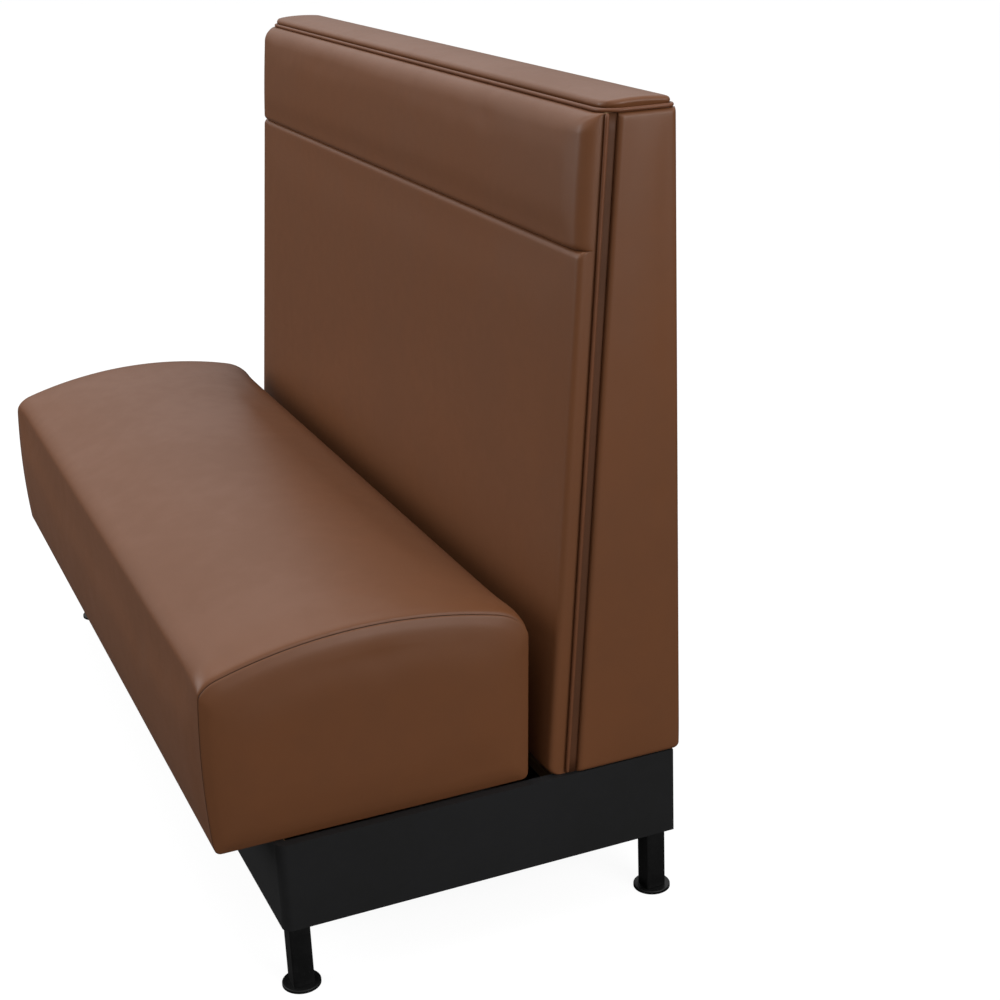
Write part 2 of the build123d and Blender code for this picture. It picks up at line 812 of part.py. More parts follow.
def seat_frame():
    """The seat's timber box, its corner blocks and the cleats that locate it on the base."""
    heights = (seat_frame_low, seat_frame_high)
    rail_x = seat_frame_x - seat_board
    front_inner = seat_frame_front - seat_board
    rear_inner = seat_frame_rear + seat_board
    parts["seat_front_rail"] = box_between((-rail_x, rail_x), (front_inner, seat_frame_front), heights)
    parts["seat_rear_rail"] = box_between((-rail_x, rail_x), (seat_frame_rear, rear_inner), heights)
    ends = [(rail_x, seat_frame_x), (-seat_frame_x, -rail_x)]
    parts["seat_end_boards"] = group(
        [box_between(x_range, (seat_frame_rear, seat_frame_front), heights) for x_range in ends]
    )
    cleat_outer = cross_rail_spacing - cross_rail_thickness / 2 - cleat_side_gap
    cleat_centre = cleat_outer - cleat_length / 2
    stretcher_top = seat_frame_low + stretcher_height
    stretchers = []
    for x in (-cleat_centre, 0, cleat_centre):
        x_range = (x - seat_board / 2, x + seat_board / 2)
        stretchers.append(box_between(x_range, (rear_inner, front_inner), (seat_frame_low, stretcher_top)))
    parts["seat_stretchers"] = group(stretchers)
    blocks = []
    block_top = seat_frame_low + seat_block_height
    for side in SIDES.values():
        x_range = sorted((side * rail_x, side * (rail_x - seat_block_size)))
        for depths in ((rear_inner, rear_inner + seat_block_size), (front_inner - seat_block_size, front_inner)):
            blocks.append(box_between(x_range, depths, (seat_frame_low, block_top)))
    parts["seat_corner_blocks"] = group(blocks)
    cleat_top = seat_frame_low - dust_cover_thickness
    cleat_front = inner_front - cleat_front_gap
    cleats = []
    for side in SIDES.values():
        x_range = sorted((side * cleat_outer, side * (cleat_outer - cleat_length)))
        depths = (cleat_front - cleat_width, cleat_front)
        cleats.append(box_between(x_range, depths, (cleat_top - cleat_height, cleat_top)))
    parts["seat_cleats"] = group(cleats)


def seat_springs():
    """Sinuous springs from the rear rail to the front rail, held by a clip at each end."""
    wire_z = seat_frame_high + spring_wire / 2
    first_y = y_at(seat_frame_front - spring_seat)
    last_y = y_at(seat_frame_rear + spring_seat)
    bend_count = int((last_y - first_y) / spring_pitch)
    pitch = (last_y - first_y) / bend_count
    half_width = spring_width / 2
    with BuildPart() as spring:
        route_points = [(-half_width, first_y)]
        for bend in range(bend_count):
            side = 1 if bend % 2 == 0 else -1
            route_points.append((side * half_width, first_y + bend * pitch))
            route_points.append((side * half_width, first_y + (bend + 1) * pitch))
        route_points.append((-side * half_width, last_y))
        with BuildLine(Plane.XY.offset(wire_z)) as route:
            FilletPolyline(*route_points, radius=spring_bend)
        with BuildSketch(Plane(origin=route.line @ 0, z_dir=route.line % 0)):
            Circle(spring_wire / 2)
        sweep()
    springs = []
    clips = []
    for index in range(spring_count):
        x = (index - (spring_count - 1) / 2) * spring_spacing
        springs.append(Pos(x, 0, 0) * spring.part)
        for y in (first_y, last_y):
            clips.append(spring_clip(x, y))
    parts["seat_springs"] = group(springs)
    parts["seat_spring_clips"] = group(clips)


def spring_clip(x, y):
    """A bent strap over the end of a spring, down to the rail on both sides of the wire."""
    height = spring_wire + clip_metal + clip_gap
    with BuildPart() as clip:
        with BuildSketch(Plane.YZ.offset(x - clip_size / 2)):
            with Locations((y, seat_frame_high + height / 2)):
                Rectangle(clip_size, height)
            with Locations((y, seat_frame_high + (height - clip_metal) / 2)):
                Rectangle(clip_size - 2 * clip_metal, height - clip_metal, mode=Mode.SUBTRACT)
        extrude(amount=clip_size)
    return clip.part


def seat_pads():
    """Insulator, foam, covers and dust cover of the seat."""
    frame_depths = (seat_frame_rear, seat_frame_front)
    whole_x = (-seat_frame_x, seat_frame_x)
    parts["seat_insulator"] = box_between(whole_x, frame_depths, (insulator_low, foam_low))
    inner = long_pad(seat_seam_x, seat_end_roll, seat_outline, cover)
    beyond = (-overrun, overall_depth + overrun)
    foam_space = box_between(whole_x, beyond, (foam_low, overall_height))
    parts["seat_foam"] = inner & foam_space
    border_heights = (seat_low, foam_low)
    front_space = box_between(whole_x, (seat_frame_front, overall_depth), border_heights)
    rear_space = box_between(whole_x, (0, seat_frame_rear), border_heights)
    parts["seat_border_foams"] = group([inner & front_space, inner & rear_space])
    shell = long_pad(seat_seam_x, seat_end_roll, seat_outline, 0) - inner
    opening = box_between(
        (seat_hem - seat_seam_x, seat_seam_x - seat_hem),
        (seat_rear_low + seat_hem, overall_depth - seat_front_bulge - seat_hem),
        (seat_low - overrun, seat_frame_low + overrun),
    )
    parts["seat_cover"] = shell - opening
    dust_low = seat_frame_low - dust_cover_thickness
    reach = seat_hem + dust_cover_gap
    parts["seat_dust_cover"] = box_between(
        (reach - seat_seam_x, seat_seam_x - reach),
        (seat_rear_low + reach, overall_depth - seat_front_bulge - reach),
        (dust_low, seat_frame_low),
    )
    foams = []
    for name, side in SIDES.items():
        crown = end_pad(side, seat_seam_x, seat_x - cover, seat_end_edge, seat_outline, cover)
        skin = end_pad(side, seat_seam_x, seat_x, seat_end_edge, seat_outline, 0) - crown
        parts[f"seat_end_cover_{name}"] = skin
        x_range = sorted((side * seat_frame_x, side * seat_seam_x))
        sheet = inner & box_between(x_range, beyond, (0, overall_height))
        foams.append(sheet + crown)
    parts["seat_end_foams"] = group(foams)


def write_parts():
    """Write every piece to its own file, with its name as its label."""
    os.makedirs("parts", exist_ok=True)
    for name, piece in parts.items():
        piece.label = name
        export_step(piece, f"parts/{name}.step")


base_boards()
corner_blocks()
base_wrap()
cut_for_plates()
base_dust_cover()
leg_plates()
legs_and_feet()
back_frame()
back_pads()
back_welts()
back_ends()
seat_frame()
seat_springs()
seat_pads()
write_parts()
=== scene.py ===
"""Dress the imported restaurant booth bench: padded vinyl, black plinth and feet, timber, springs and steel.

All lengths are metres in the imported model's own frame: X runs along the bench to the right as seen
from the front, -Y is the sitter's side and +Z is up. Depths are measured forward from the flat
outside face of the back, as an upholsterer would.
"""

import logging
import math
from collections.abc import Callable, Sequence
from dataclasses import dataclass, field
from enum import Enum

import bmesh
import bpy
import numpy as np
from mathutils import Matrix, Vector
from mathutils.kdtree import KDTree


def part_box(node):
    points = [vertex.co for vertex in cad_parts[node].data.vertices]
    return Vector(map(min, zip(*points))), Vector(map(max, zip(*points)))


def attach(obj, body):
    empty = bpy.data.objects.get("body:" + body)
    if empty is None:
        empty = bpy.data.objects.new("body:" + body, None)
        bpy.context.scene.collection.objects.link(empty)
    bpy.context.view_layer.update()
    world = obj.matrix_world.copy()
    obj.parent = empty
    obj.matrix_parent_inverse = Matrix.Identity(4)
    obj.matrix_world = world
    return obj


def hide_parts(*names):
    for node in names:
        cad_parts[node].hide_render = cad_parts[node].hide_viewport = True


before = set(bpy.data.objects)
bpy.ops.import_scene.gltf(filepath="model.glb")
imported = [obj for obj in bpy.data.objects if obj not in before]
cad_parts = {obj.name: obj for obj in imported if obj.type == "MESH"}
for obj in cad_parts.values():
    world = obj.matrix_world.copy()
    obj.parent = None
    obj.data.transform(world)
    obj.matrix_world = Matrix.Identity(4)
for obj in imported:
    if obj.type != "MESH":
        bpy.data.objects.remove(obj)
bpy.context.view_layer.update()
LOG = logging.getLogger("booth")

MM = 0.001
RIGHT_ANGLE = math.pi / 2
WELD_DISTANCE = 0.01 * MM
STEEP_RISE = 0.5
CORD_SIDES = 14

Place = Sequence[float]
Pair = tuple[float, float]
Triple = tuple[float, float, float]
Sockets = dict[str, bpy.types.NodeSocket]


class Side(Enum):
    """The two ends of the bench, with the way that each faces along X."""

    LEFT = -1
    RIGHT = 1

    @property
    def word(self) -> str:
        """The side's name as it stands in the names of pieces."""
        return self.name.lower()


class Body(Enum):
    """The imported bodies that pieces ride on."""

    FRAME = "frame"
    SEAT = "seat"


class Slot(Enum):
    """The record's material slots, which pieces carry without taking their finish from them."""

    VINYL = "brown_vinyl"


def low_corner(node: str) -> Vector:
    """Lowest corner of a CAD node."""
    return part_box(node)[0]


def high_corner(node: str) -> Vector:
    """Highest corner of a CAD node."""
    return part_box(node)[1]


BACK_Y = high_corner("outside_back_cover").y


def depth_of(y: float) -> float:
    """Depth of a place forward of the back's outside face."""
    return BACK_Y - y


# Curves of a section


def straight(start: Place, end: Place, count: int) -> np.ndarray:
    """Points from start to end, without the end.

    Args:
        start: First place.
        end: Place that the next stretch begins with.
        count: Number of points.

    Returns:
        The points, one per row.
    """
    share = np.arange(count)[:, None] / count
    return np.asarray(start) * (1 - share) + np.asarray(end) * share


def bend(start: Place, corner: Place, end: Place, count: int) -> np.ndarray:
    """A quarter bend that leaves start towards the corner and reaches end coming from it.

    Args:
        start: First place.
        corner: Where the two tangents would meet.
        end: Place that the next stretch begins with.
        count: Number of points.

    Returns:
        The points, one per row, without the end.
    """
    turn = (np.arange(count) / count * RIGHT_ANGLE)[:, None]
    start, corner, end = (np.asarray(place, float) for place in (start, corner, end))
    return start + (corner - start) * np.sin(turn) + (end - corner) * (1 - np.cos(turn))


@dataclass(frozen=True)
class Bow:
    """A round stretch through three places."""

    start: Place
    middle: Place
    end: Place

    def centre(self) -> np.ndarray:
        """Centre of the circle through the three places.

        Returns:
            The centre.
        """
        (ax, ay), (bx, by), (cx, cy) = self.start, self.middle, self.end
        rows = np.array([[bx - ax, by - ay], [cx - ax, cy - ay]])
        sums = np.array([bx**2 - ax**2 + by**2 - ay**2, cx**2 - ax**2 + cy**2 - ay**2]) / 2
        return np.linalg.solve(rows, sums)

    def points(self, count: int) -> np.ndarray:
        """Points from the start to the end, without the end.

        Args:
            count: Number of points.

        Returns:
            The points, one per row.
        """
        centre = self.centre()
        arms = [np.asarray(place, float) - centre for place in (self.start, self.middle, self.end)]
        first, mid, last = (math.atan2(arm[1], arm[0]) for arm in arms)
        full = 2 * math.pi
        sweep = (last - first) % full
        if (mid - first) % full > sweep:
            sweep -= full
        turn = first + sweep * np.arange(count) / count
        radius = np.hypot(*arms[0])
        return centre + radius * np.column_stack([np.cos(turn), np.sin(turn)])

    def slope(self, place: Place) -> float:
        """Rise over run of the circle where it passes a place."""
        arm = np.asarray(place, float) - self.centre()
        return -arm[0] / arm[1]


def graded(length: float, start_roll: float, end_roll: float, coarse: float, steps: int = 9) -> np.ndarray:
    """Places from 0 to a length, close together where each end rolls over.

    Args:
        length: The whole length.
        start_roll: Length that rolls over at the start.
        end_roll: Length that rolls over at the end.
        coarse: Spacing between the two.
        steps: Number of steps in each roll.

    Returns:
        The places in order.
    """
    turn = np.linspace(0, RIGHT_ANGLE, steps)
    start = start_roll * (1 - np.cos(turn))
    end = length - end_roll * (1 - np.cos(turn[::-1]))
    count = max(2, round((length - start_roll - end_roll) / coarse))
    middle = np.linspace(start_roll, length - end_roll, count + 1)[1:-1]
    return np.concatenate([start, middle, end])


def swell(distance: np.ndarray, roll: float, edge_share: float) -> np.ndarray:
    """Share of a pad's full height, from its edge share up over a quarter round.

    Args:
        distance: Distance from the edge.
        roll: Length over which the pad rises.
        edge_share: Share of the height that it has at the edge.

    Returns:
        The share of the height at each distance.
    """
    rest = 1 - np.clip(distance / roll, 0, 1)
    return edge_share + (1 - edge_share) * np.sqrt(1 - rest**2)


def smooth_step(value: np.ndarray, low: float, high: float) -> np.ndarray:
    """0 below low and 1 above high, with a smooth rise between them."""
    share = np.clip((value - low) / (high - low), 0, 1)
    return share * share * (3 - 2 * share)


# Meshes


@dataclass
class Draft:
    """Points and faces of a piece while it is drawn, with how free each point is to swell."""

    points: list[np.ndarray] = field(default_factory=list)
    free: list[np.ndarray] = field(default_factory=list)
    faces: list[tuple[int, ...]] = field(default_factory=list)
    size: int = 0

    def add_points(self, points: np.ndarray, free: np.ndarray | float = 0.0) -> int:
        """Add points.

        Args:
            points: One point per row.
            free: From 0, held, to 1, free to swell, for all or for each point.

        Returns:
            The index of the first one.
        """
        first = self.size
        self.points.append(points.reshape(-1, 3))
        count = len(self.points[-1])
        self.free.append(np.broadcast_to(np.asarray(free, float).reshape(-1), (count,)))
        self.size += count
        return first

    def add_grid(self, grid: np.ndarray, free: np.ndarray | float = 0.0, wrap: bool = False) -> None:
        """Add a grid of four-sided faces.

        Args:
            grid: Rows of points.
            free: How free each point is.
            wrap: Whether each row closes on itself.
        """
        rows, columns = grid.shape[:2]
        first = self.add_points(grid, free)
        for row in range(rows - 1):
            for column in range(columns if wrap else columns - 1):
                beside = (column + 1) % columns
                near, far = first + row * columns, first + (row + 1) * columns
                self.faces.append((near + column, near + beside, far + beside, far + column))

    def add_walls(self, outer: np.ndarray, inner: np.ndarray, shares: Sequence[float]) -> None:
        """Join the four edges of two grids of the same shape.

        Args:
            outer: The outer grid.
            inner: The inner grid.
            shares: Where the rows of points lie between the two.
        """
        for cut in (np.s_[0], np.s_[-1], np.s_[:, 0], np.s_[:, -1]):
            self.add_grid(np.array([outer[cut] * (1 - share) + inner[cut] * share for share in shares]))

    def add_cap(self, ring: np.ndarray, free: float = 0.0) -> None:
        """Close a ring of points with a fan round its middle.

        Args:
            ring: The points, one per row.
            free: How free they are to swell.
        """
        first = self.add_points(np.vstack([ring, ring.mean(0)]), free)
        count = len(ring)
        self.faces += [(first + i, first + (i + 1) % count, first + count) for i in range(count)]

    def mesh(self, name: str) -> bpy.types.Mesh:
        """Weld what touches and turn every face outwards.

        Args:
            name: Name of the mesh.

        Returns:
            The finished mesh, with each point's freedom in its attribute "free".
        """
        mesh = bpy.data.meshes.new(name)
        mesh.from_pydata(np.vstack(self.points).tolist(), [], self.faces)
        freedom = mesh.attributes.new("free", "FLOAT", "POINT")
        freedom.data.foreach_set("value", np.concatenate(self.free).astype(np.float32))
        work = bmesh.new()
        work.from_mesh(mesh)
        bmesh.ops.remove_doubles(work, verts=work.verts, dist=WELD_DISTANCE)
        bmesh.ops.dissolve_degenerate(work, edges=work.edges, dist=WELD_DISTANCE)
        bmesh.ops.recalc_face_normals(work, faces=work.faces)
        middle = sum((v.co for v in work.verts), Vector()) / len(work.verts)
        outward = sum(f.calc_area() * f.normal.dot(f.calc_center_median() - middle) for f in work.faces)
        if outward < 0:
            bmesh.ops.reverse_faces(work, faces=work.faces)
        work.to_mesh(mesh)
        work.free()
        mesh.shade_smooth()
        return mesh


def coordinates(mesh: bpy.types.Mesh) -> np.ndarray:
    """Places of a mesh's vertices.

    Args:
        mesh: The mesh.

    Returns:
        One place per row.
    """
    flat = np.zeros(len(mesh.vertices) * 3, np.float32)
    mesh.vertices.foreach_get("co", flat)
    return flat.reshape(-1, 3).astype(float)


def place_vertices(mesh: bpy.types.Mesh, places: np.ndarray) -> None:
    """Move a mesh's vertices to new places."""
    mesh.vertices.foreach_set("co", places.astype(np.float32).ravel())
    mesh.update()


def tube(route: np.ndarray, radius: float, sides: int, closed: bool) -> Draft:
    """A round cord along a route.

    Args:
        route: Points of its centreline.
        radius: Its radius.
        sides: Points round it.
        closed: Whether the route is a ring.

    Returns:
        The cord's draft.
    """
    ahead = np.roll(route, -1, 0) - np.roll(route, 1, 0)
    if not closed:
        ahead[0], ahead[-1] = route[1] - route[0], route[-1] - route[-2]
    ahead /= np.linalg.norm(ahead, axis=1)[:, None]
    across = np.cross(ahead, (0.0, 0.0, 1.0))
    if np.abs(ahead[:, 2]).max() > STEEP_RISE:
        across = np.cross(ahead, (1.0, 0.0, 0.0))
    across /= np.linalg.norm(across, axis=1)[:, None]
    above = np.cross(across, ahead)
    turn = np.linspace(0, 2 * math.pi, sides, endpoint=False)
    rings = (
        route[:, None]
        + radius * np.cos(turn)[None, :, None] * across[:, None]
        + radius * np.sin(turn)[None, :, None] * above[:, None]
    )
    draft = Draft()
    draft.add_grid(np.vstack([rings, rings[:1]]) if closed else rings, wrap=True)
    if not closed:
        draft.add_cap(rings[0])
        draft.add_cap(rings[-1])
    return draft


# Swelling of stuffed pieces


@dataclass(frozen=True)
class Swelling:
    """How a simulated copy of a pad moved, to be carried over to the piece itself.

    Attributes:
        tree: Where the copy's points started.
        moves: How far each of them moved.
        neighbours: Number of points whose moves are averaged.
        softening: Distance that evens out their weights.
    """

    tree: KDTree
    moves: np.ndarray
    neighbours: int = 28
    softening: float = 12 * MM

    def apply(self, mesh: bpy.types.Mesh) -> None:
        """Move a piece's free vertices as the copy moved near them.

        Args:
            mesh: The piece's mesh, with each vertex's freedom in its attribute "free".
        """
        places = coordinates(mesh)
        freedom = np.zeros(len(places), np.float32)
        mesh.attributes["free"].data.foreach_get("value", freedom)
        for index in np.flatnonzero(freedom > 0):
            near = self.tree.find_n(places[index], self.neighbours)
            weights = np.array([1 / (distance + self.softening) ** 2 for _, _, distance in near])
            move = (self.moves[[i for _, i, _ in near]] * weights[:, None]).sum(0) / weights.sum()
            places[index] += move * freedom[index]
        place_vertices(mesh, places)


@dataclass(frozen=True)
class Stuffing:
    """Cloth simulation of a cover that its foam presses outwards.

    Attributes:
        voxel: Size of the faces of the simulated copy.
        pressure: How hard the foam presses.
        cap: Furthest that a point may move.
        spare: Share by which the cover is cut larger than its foam, which makes it pucker.
        frames: Steps of the simulation.
        quality: Substeps of each.
        mass: Weight of the cover at each point.
        stretch: How stiffly it resists being pulled or pressed along itself.
        shear: How stiffly it resists being skewed.
        bending: How stiffly it resists being bent.
    """

    voxel: float
    pressure: float
    cap: float
    spare: float
    frames: int = 20
    quality: int = 6
    mass: float = 0.4
    stretch: float = 40.0
    shear: float = 20.0
    bending: float = 8.0

    def run(self, draft: Draft, held: Callable[[np.ndarray], np.ndarray]) -> Swelling | None:
        """Simulate a copy of a closed pad.

        Args:
            draft: The closed pad.
            held: Says which of the copy's points stay where they are, as True or False.

        Returns:
            How the copy moved.
        """
        scene = bpy.context.scene
        copy = bpy.data.objects.new("stuffing_copy", draft.mesh("stuffing_copy"))
        scene.collection.objects.link(copy)
        remesh = copy.modifiers.new("even_faces", "REMESH")
        remesh.mode = "VOXEL"
        remesh.voxel_size = self.voxel
        graph = bpy.context.evaluated_depsgraph_get()
        even = bpy.data.meshes.new_from_object(copy.evaluated_get(graph))
        copy.modifiers.clear()
        copy.data = even
        start = coordinates(even)
        pins = copy.vertex_groups.new(name="held")
        pins.add([int(i) for i in np.flatnonzero(held(start))], 1.0, "REPLACE")
        cloth = copy.modifiers.new("cover", "CLOTH").settings
        cloth.quality = self.quality
        cloth.mass = self.mass
        cloth.tension_stiffness = self.stretch
        cloth.compression_stiffness = self.stretch
        cloth.shear_stiffness = self.shear
        cloth.bending_stiffness = self.bending
        cloth.use_pressure = True
        cloth.uniform_pressure_force = self.pressure
        cloth.shrink_min = -self.spare
        cloth.vertex_group_mass = "held"
        cloth.effector_weights.gravity = 0
        for step in range(1, self.frames + 1):
            scene.frame_set(step)
        graph = bpy.context.evaluated_depsgraph_get()
        moves = coordinates(copy.evaluated_get(graph).to_mesh()) - start
        scene.frame_set(1)
        length = np.linalg.norm(moves, axis=1)
        moves *= (self.cap * np.tanh(length / self.cap) / np.maximum(length, WELD_DISTANCE))[:, None]
        tree = KDTree(len(start))
        for index, place in enumerate(start):
            tree.insert(place, index)
        tree.balance()
        bpy.data.objects.remove(copy)
        bpy.data.meshes.remove(even)
        return Swelling(tree, moves)


# Finishes


class Graph:
    """Adds and links the nodes of one material or node group."""

    def __init__(self, tree: bpy.types.NodeTree) -> None:
        """Start from an empty tree.

        Args:
            tree: The tree to fill.
        """
        tree.nodes.clear()
        self.tree = tree

    def feed(self, node: bpy.types.Node, name: str | int, value: object) -> None:
        """Give a node's input a value.

        Args:
            node: The node.
            name: Name or number of its input.
            value: An output to link, or a plain value.
        """
        if isinstance(value, bpy.types.NodeSocket):
            self.tree.links.new(value, node.inputs[name])
        else:
            node.inputs[name].default_value = value

    def add(
        self, kind: str, values: dict[str | int, object] | None = None, **settings: object
    ) -> bpy.types.Node:
        """Add a node.

        Args:
            kind: The node's type, without its ShaderNode prefix.
            values: A value or an output to link for each named or numbered input.
            settings: The node's own options.

        Returns:
            The new node.
        """
        node = self.tree.nodes.new(kind if kind.startswith("Node") else f"ShaderNode{kind}")
        for name, value in settings.items():
            setattr(node, name, value)
        for name, value in (values or {}).items():
            self.feed(node, name, value)
        return node

    def math(self, operation: str, *values: object) -> bpy.types.NodeSocket:
        """Output of a Math node."""
        return self.add("Math", dict(enumerate(values)), operation=operation).outputs[0]

    def mix(self, share: object, first: object, second: object) -> bpy.types.NodeSocket:
        """Colour between a first and a second one."""
        node = self.add("Mix", {0: share, 6: first, 7: second}, data_type="RGBA")
        return node.outputs[2]

    def times(self, first: object, second: object) -> bpy.types.NodeSocket:
        """Product of two values."""
        return self.math("MULTIPLY", first, second)

    def plus(self, first: object, second: object) -> bpy.types.NodeSocket:
        """Sum of two values."""
        return self.math("ADD", first, second)

    def stretched(self, place: object, shares: Triple) -> bpy.types.NodeSocket:
        """A place with its X, Y and Z times three shares."""
        return self.add("VectorMath", {0: place, 1: shares}, operation="MULTIPLY").outputs[0]

    def noise(
        self, place: object, scale: object, detail: float = 3.0, rough: float = 0.5
    ) -> bpy.types.NodeSocket:
        """Soft noise from 0 to 1."""
        values = {"Vector": place, "Scale": scale, "Detail": detail, "Roughness": rough}
        return self.add("TexNoise", values).outputs["Fac"]

    def ramp(
        self, value: object, low: float, high: float, start: float = 0.0, stop: float = 1.0
    ) -> bpy.types.NodeSocket:
        """A value from low to high spread over start to stop, and held outside them."""
        values = {0: value, 1: low, 2: high, 3: start, 4: stop}
        return self.add("MapRange", values, interpolation_type="SMOOTHSTEP").outputs[0]


def effect(
    name: str,
    inputs: Sequence[tuple[str, str, object]],
    outputs: Sequence[tuple[str, str]],
    fill: Callable[[Graph, Sockets], Sockets],
) -> bpy.types.NodeTree:
    """A shader node group that several finishes share, made once.

    Args:
        name: Its name.
        inputs: Name, socket type and standing value of each input.
        outputs: Name and socket type of each output.
        fill: Draws its nodes from its inputs, and gives the socket for each output.

    Returns:
        The group.
    """
    group = bpy.data.node_groups.get(name)
    if group:
        return group
    group = bpy.data.node_groups.new(name, "ShaderNodeTree")
    for label, kind, value in inputs:
        socket = group.interface.new_socket(label, in_out="INPUT", socket_type=kind)
        if value is not None:
            socket.default_value = value
    for label, kind in outputs:
        group.interface.new_socket(label, in_out="OUTPUT", socket_type=kind)
    graph = Graph(group)
    entry = graph.add("NodeGroupInput")
    found = fill(graph, {socket.name: socket for socket in entry.outputs if socket.name})
    graph.add("NodeGroupOutput", found)
    return group


FLOAT, VECTOR, COLOUR = "NodeSocketFloat", "NodeSocketVector", "NodeSocketColor"


def hide_grain() -> bpy.types.NodeTree:
    """Embossed grain of coated cloth: small rounded cells with finer wrinkles between them.

    Returns:
        The group.
    """
    warp_scale, wrinkle_scale, wrinkle_detail = 0.35, 2.6, 2.0
    cell_height, wrinkle_height = -0.7, 0.5

    def fill(graph: Graph, given: Sockets) -> Sockets:
        """Draw the group's nodes.

        Args:
            graph: The group's nodes.
            given: Its inputs.

        Returns:
            Its outputs.
        """
        size = given["Cell Size"]
        scale = graph.math("DIVIDE", 1.0, size)
        warp = graph.add("TexNoise", {"Vector": given["Place"], "Scale": graph.times(scale, warp_scale)})
        bent = graph.add("VectorMath", {0: warp.outputs["Color"], "Scale": size}, operation="SCALE")
        place = graph.add("VectorMath", {0: given["Place"], 1: bent.outputs[0]}, operation="ADD").outputs[0]
        cells = graph.add("TexVoronoi", {"Vector": place, "Scale": scale}, feature="SMOOTH_F1")
        wrinkles = graph.noise(place, graph.times(scale, wrinkle_scale), wrinkle_detail)
        rounded = graph.times(cells.outputs["Distance"], cell_height)
        return {"Height": graph.plus(rounded, graph.times(wrinkles, wrinkle_height))}

    inputs = [("Place", VECTOR, None), ("Cell Size", FLOAT, MM)]
    return effect("hide_grain", inputs, [("Height", FLOAT)], fill)


def tone_drift() -> bpy.types.NodeTree:
    """Slow change of tone over a surface, with a finer mottling on it.

    Returns:
        The group.
    """
    broad_detail, fine_scale, fine_detail, fine_rough = 2.0, 9.0, 4.0, 0.6
    broad_share, fine_share = 0.65, 0.35
    low, high = 0.32, 0.68

    def fill(graph: Graph, given: Sockets) -> Sockets:
        """Draw the group's nodes.

        Args:
            graph: The group's nodes.
            given: Its inputs.

        Returns:
            Its outputs.
        """
        scale = graph.math("DIVIDE", 1.0, given["Patch Size"])
        broad = graph.noise(given["Place"], scale, broad_detail)
        fine = graph.noise(given["Place"], graph.times(scale, fine_scale), fine_detail, fine_rough)
        blend = graph.plus(graph.times(broad, broad_share), graph.times(fine, fine_share))
        share = graph.ramp(blend, low, high)
        return {"Colour": graph.mix(share, given["Deep"], given["Light"]), "Share": share}

    inputs = [
        ("Place", VECTOR, None),
        ("Patch Size", FLOAT, 0.3),
        ("Deep", COLOUR, None),
        ("Light", COLOUR, None),
    ]
    return effect("tone_drift", inputs, [("Colour", COLOUR), ("Share", FLOAT)], fill)


def handling_marks() -> bpy.types.NodeTree:
    """Mask of fine rubs and scratches, few or many.

    Returns:
        The group.
    """
    shares = (1.0, 1.0, 0.12)
    line_detail, line_rough = 2.0, 0.7
    bound_of_none, drop_of_all = 0.74, 0.2
    patch_scale, patch_low, patch_high = 6.0, 0.5, 0.66

    def fill(graph: Graph, given: Sockets) -> Sockets:
        """Draw the group's nodes.

        Args:
            graph: The group's nodes.
            given: Its inputs.

        Returns:
            Its outputs.
        """
        place = graph.stretched(given["Place"], shares)
        lines = graph.noise(place, graph.math("DIVIDE", 1.0, given["Width"]), line_detail, line_rough)
        patches = graph.noise(given["Place"], patch_scale)
        bound = graph.math("SUBTRACT", bound_of_none, graph.times(given["Amount"], drop_of_all))
        scratch = graph.math("GREATER_THAN", lines, bound)
        return {"Mask": graph.times(scratch, graph.ramp(patches, patch_low, patch_high))}

    inputs = [("Place", VECTOR, None), ("Width", FLOAT, 2 * MM), ("Amount", FLOAT, 0.5)]
    return effect("handling_marks", inputs, [("Mask", FLOAT)], fill)


def timber_figure() -> bpy.types.NodeTree:
    """Growth rings and pores that run along X, to be turned with the place given to it.

    Returns:
        The group.
    """
    shares = (0.07, 1.0, 1.0)
    tilt = 0.6
    drift_scale, drift_detail, drift_reach = 0.18, 2.0, 7.0
    fibre_scale, fibre_detail, fibre_rough = 5.0, 4.0, 0.7
    ring_share, fibre_share = 0.6, 0.45

    def fill(graph: Graph, given: Sockets) -> Sockets:
        """Draw the group's nodes.

        Args:
            graph: The group's nodes.
            given: Its inputs.

        Returns:
            Its outputs.
        """
        scale = graph.math("DIVIDE", 1.0, given["Ring Width"])
        place = graph.stretched(given["Place"], shares)
        drift = graph.noise(place, graph.times(scale, drift_scale), drift_detail)
        apart = graph.add("SeparateXYZ", {0: place})
        across = graph.plus(apart.outputs["Y"], graph.times(apart.outputs["Z"], tilt))
        phase = graph.plus(graph.times(across, scale), graph.times(drift, drift_reach))
        ring = graph.math("PINGPONG", phase, 1.0)
        fibre = graph.noise(place, graph.times(scale, fibre_scale), fibre_detail, fibre_rough)
        share = graph.plus(graph.times(ring, ring_share), graph.times(fibre, fibre_share))
        return {"Colour": graph.mix(share, given["Early"], given["Late"]), "Height": fibre, "Share": share}

    inputs = [
        ("Place", VECTOR, None),
        ("Ring Width", FLOAT, 6 * MM),
        ("Early", COLOUR, None),
        ("Late", COLOUR, None),
    ]
    outputs = [("Colour", COLOUR), ("Height", FLOAT), ("Share", FLOAT)]
    return effect("timber_figure", inputs, outputs, fill)


class Grain(Enum):
    """Axis that a board's grain runs along, as the turn that brings it onto X."""

    ALONG_X = (0.0, 0.0, 0.0)
    ALONG_Y = (0.0, 0.0, RIGHT_ANGLE)
    ALONG_Z = (0.0, RIGHT_ANGLE, 0.0)


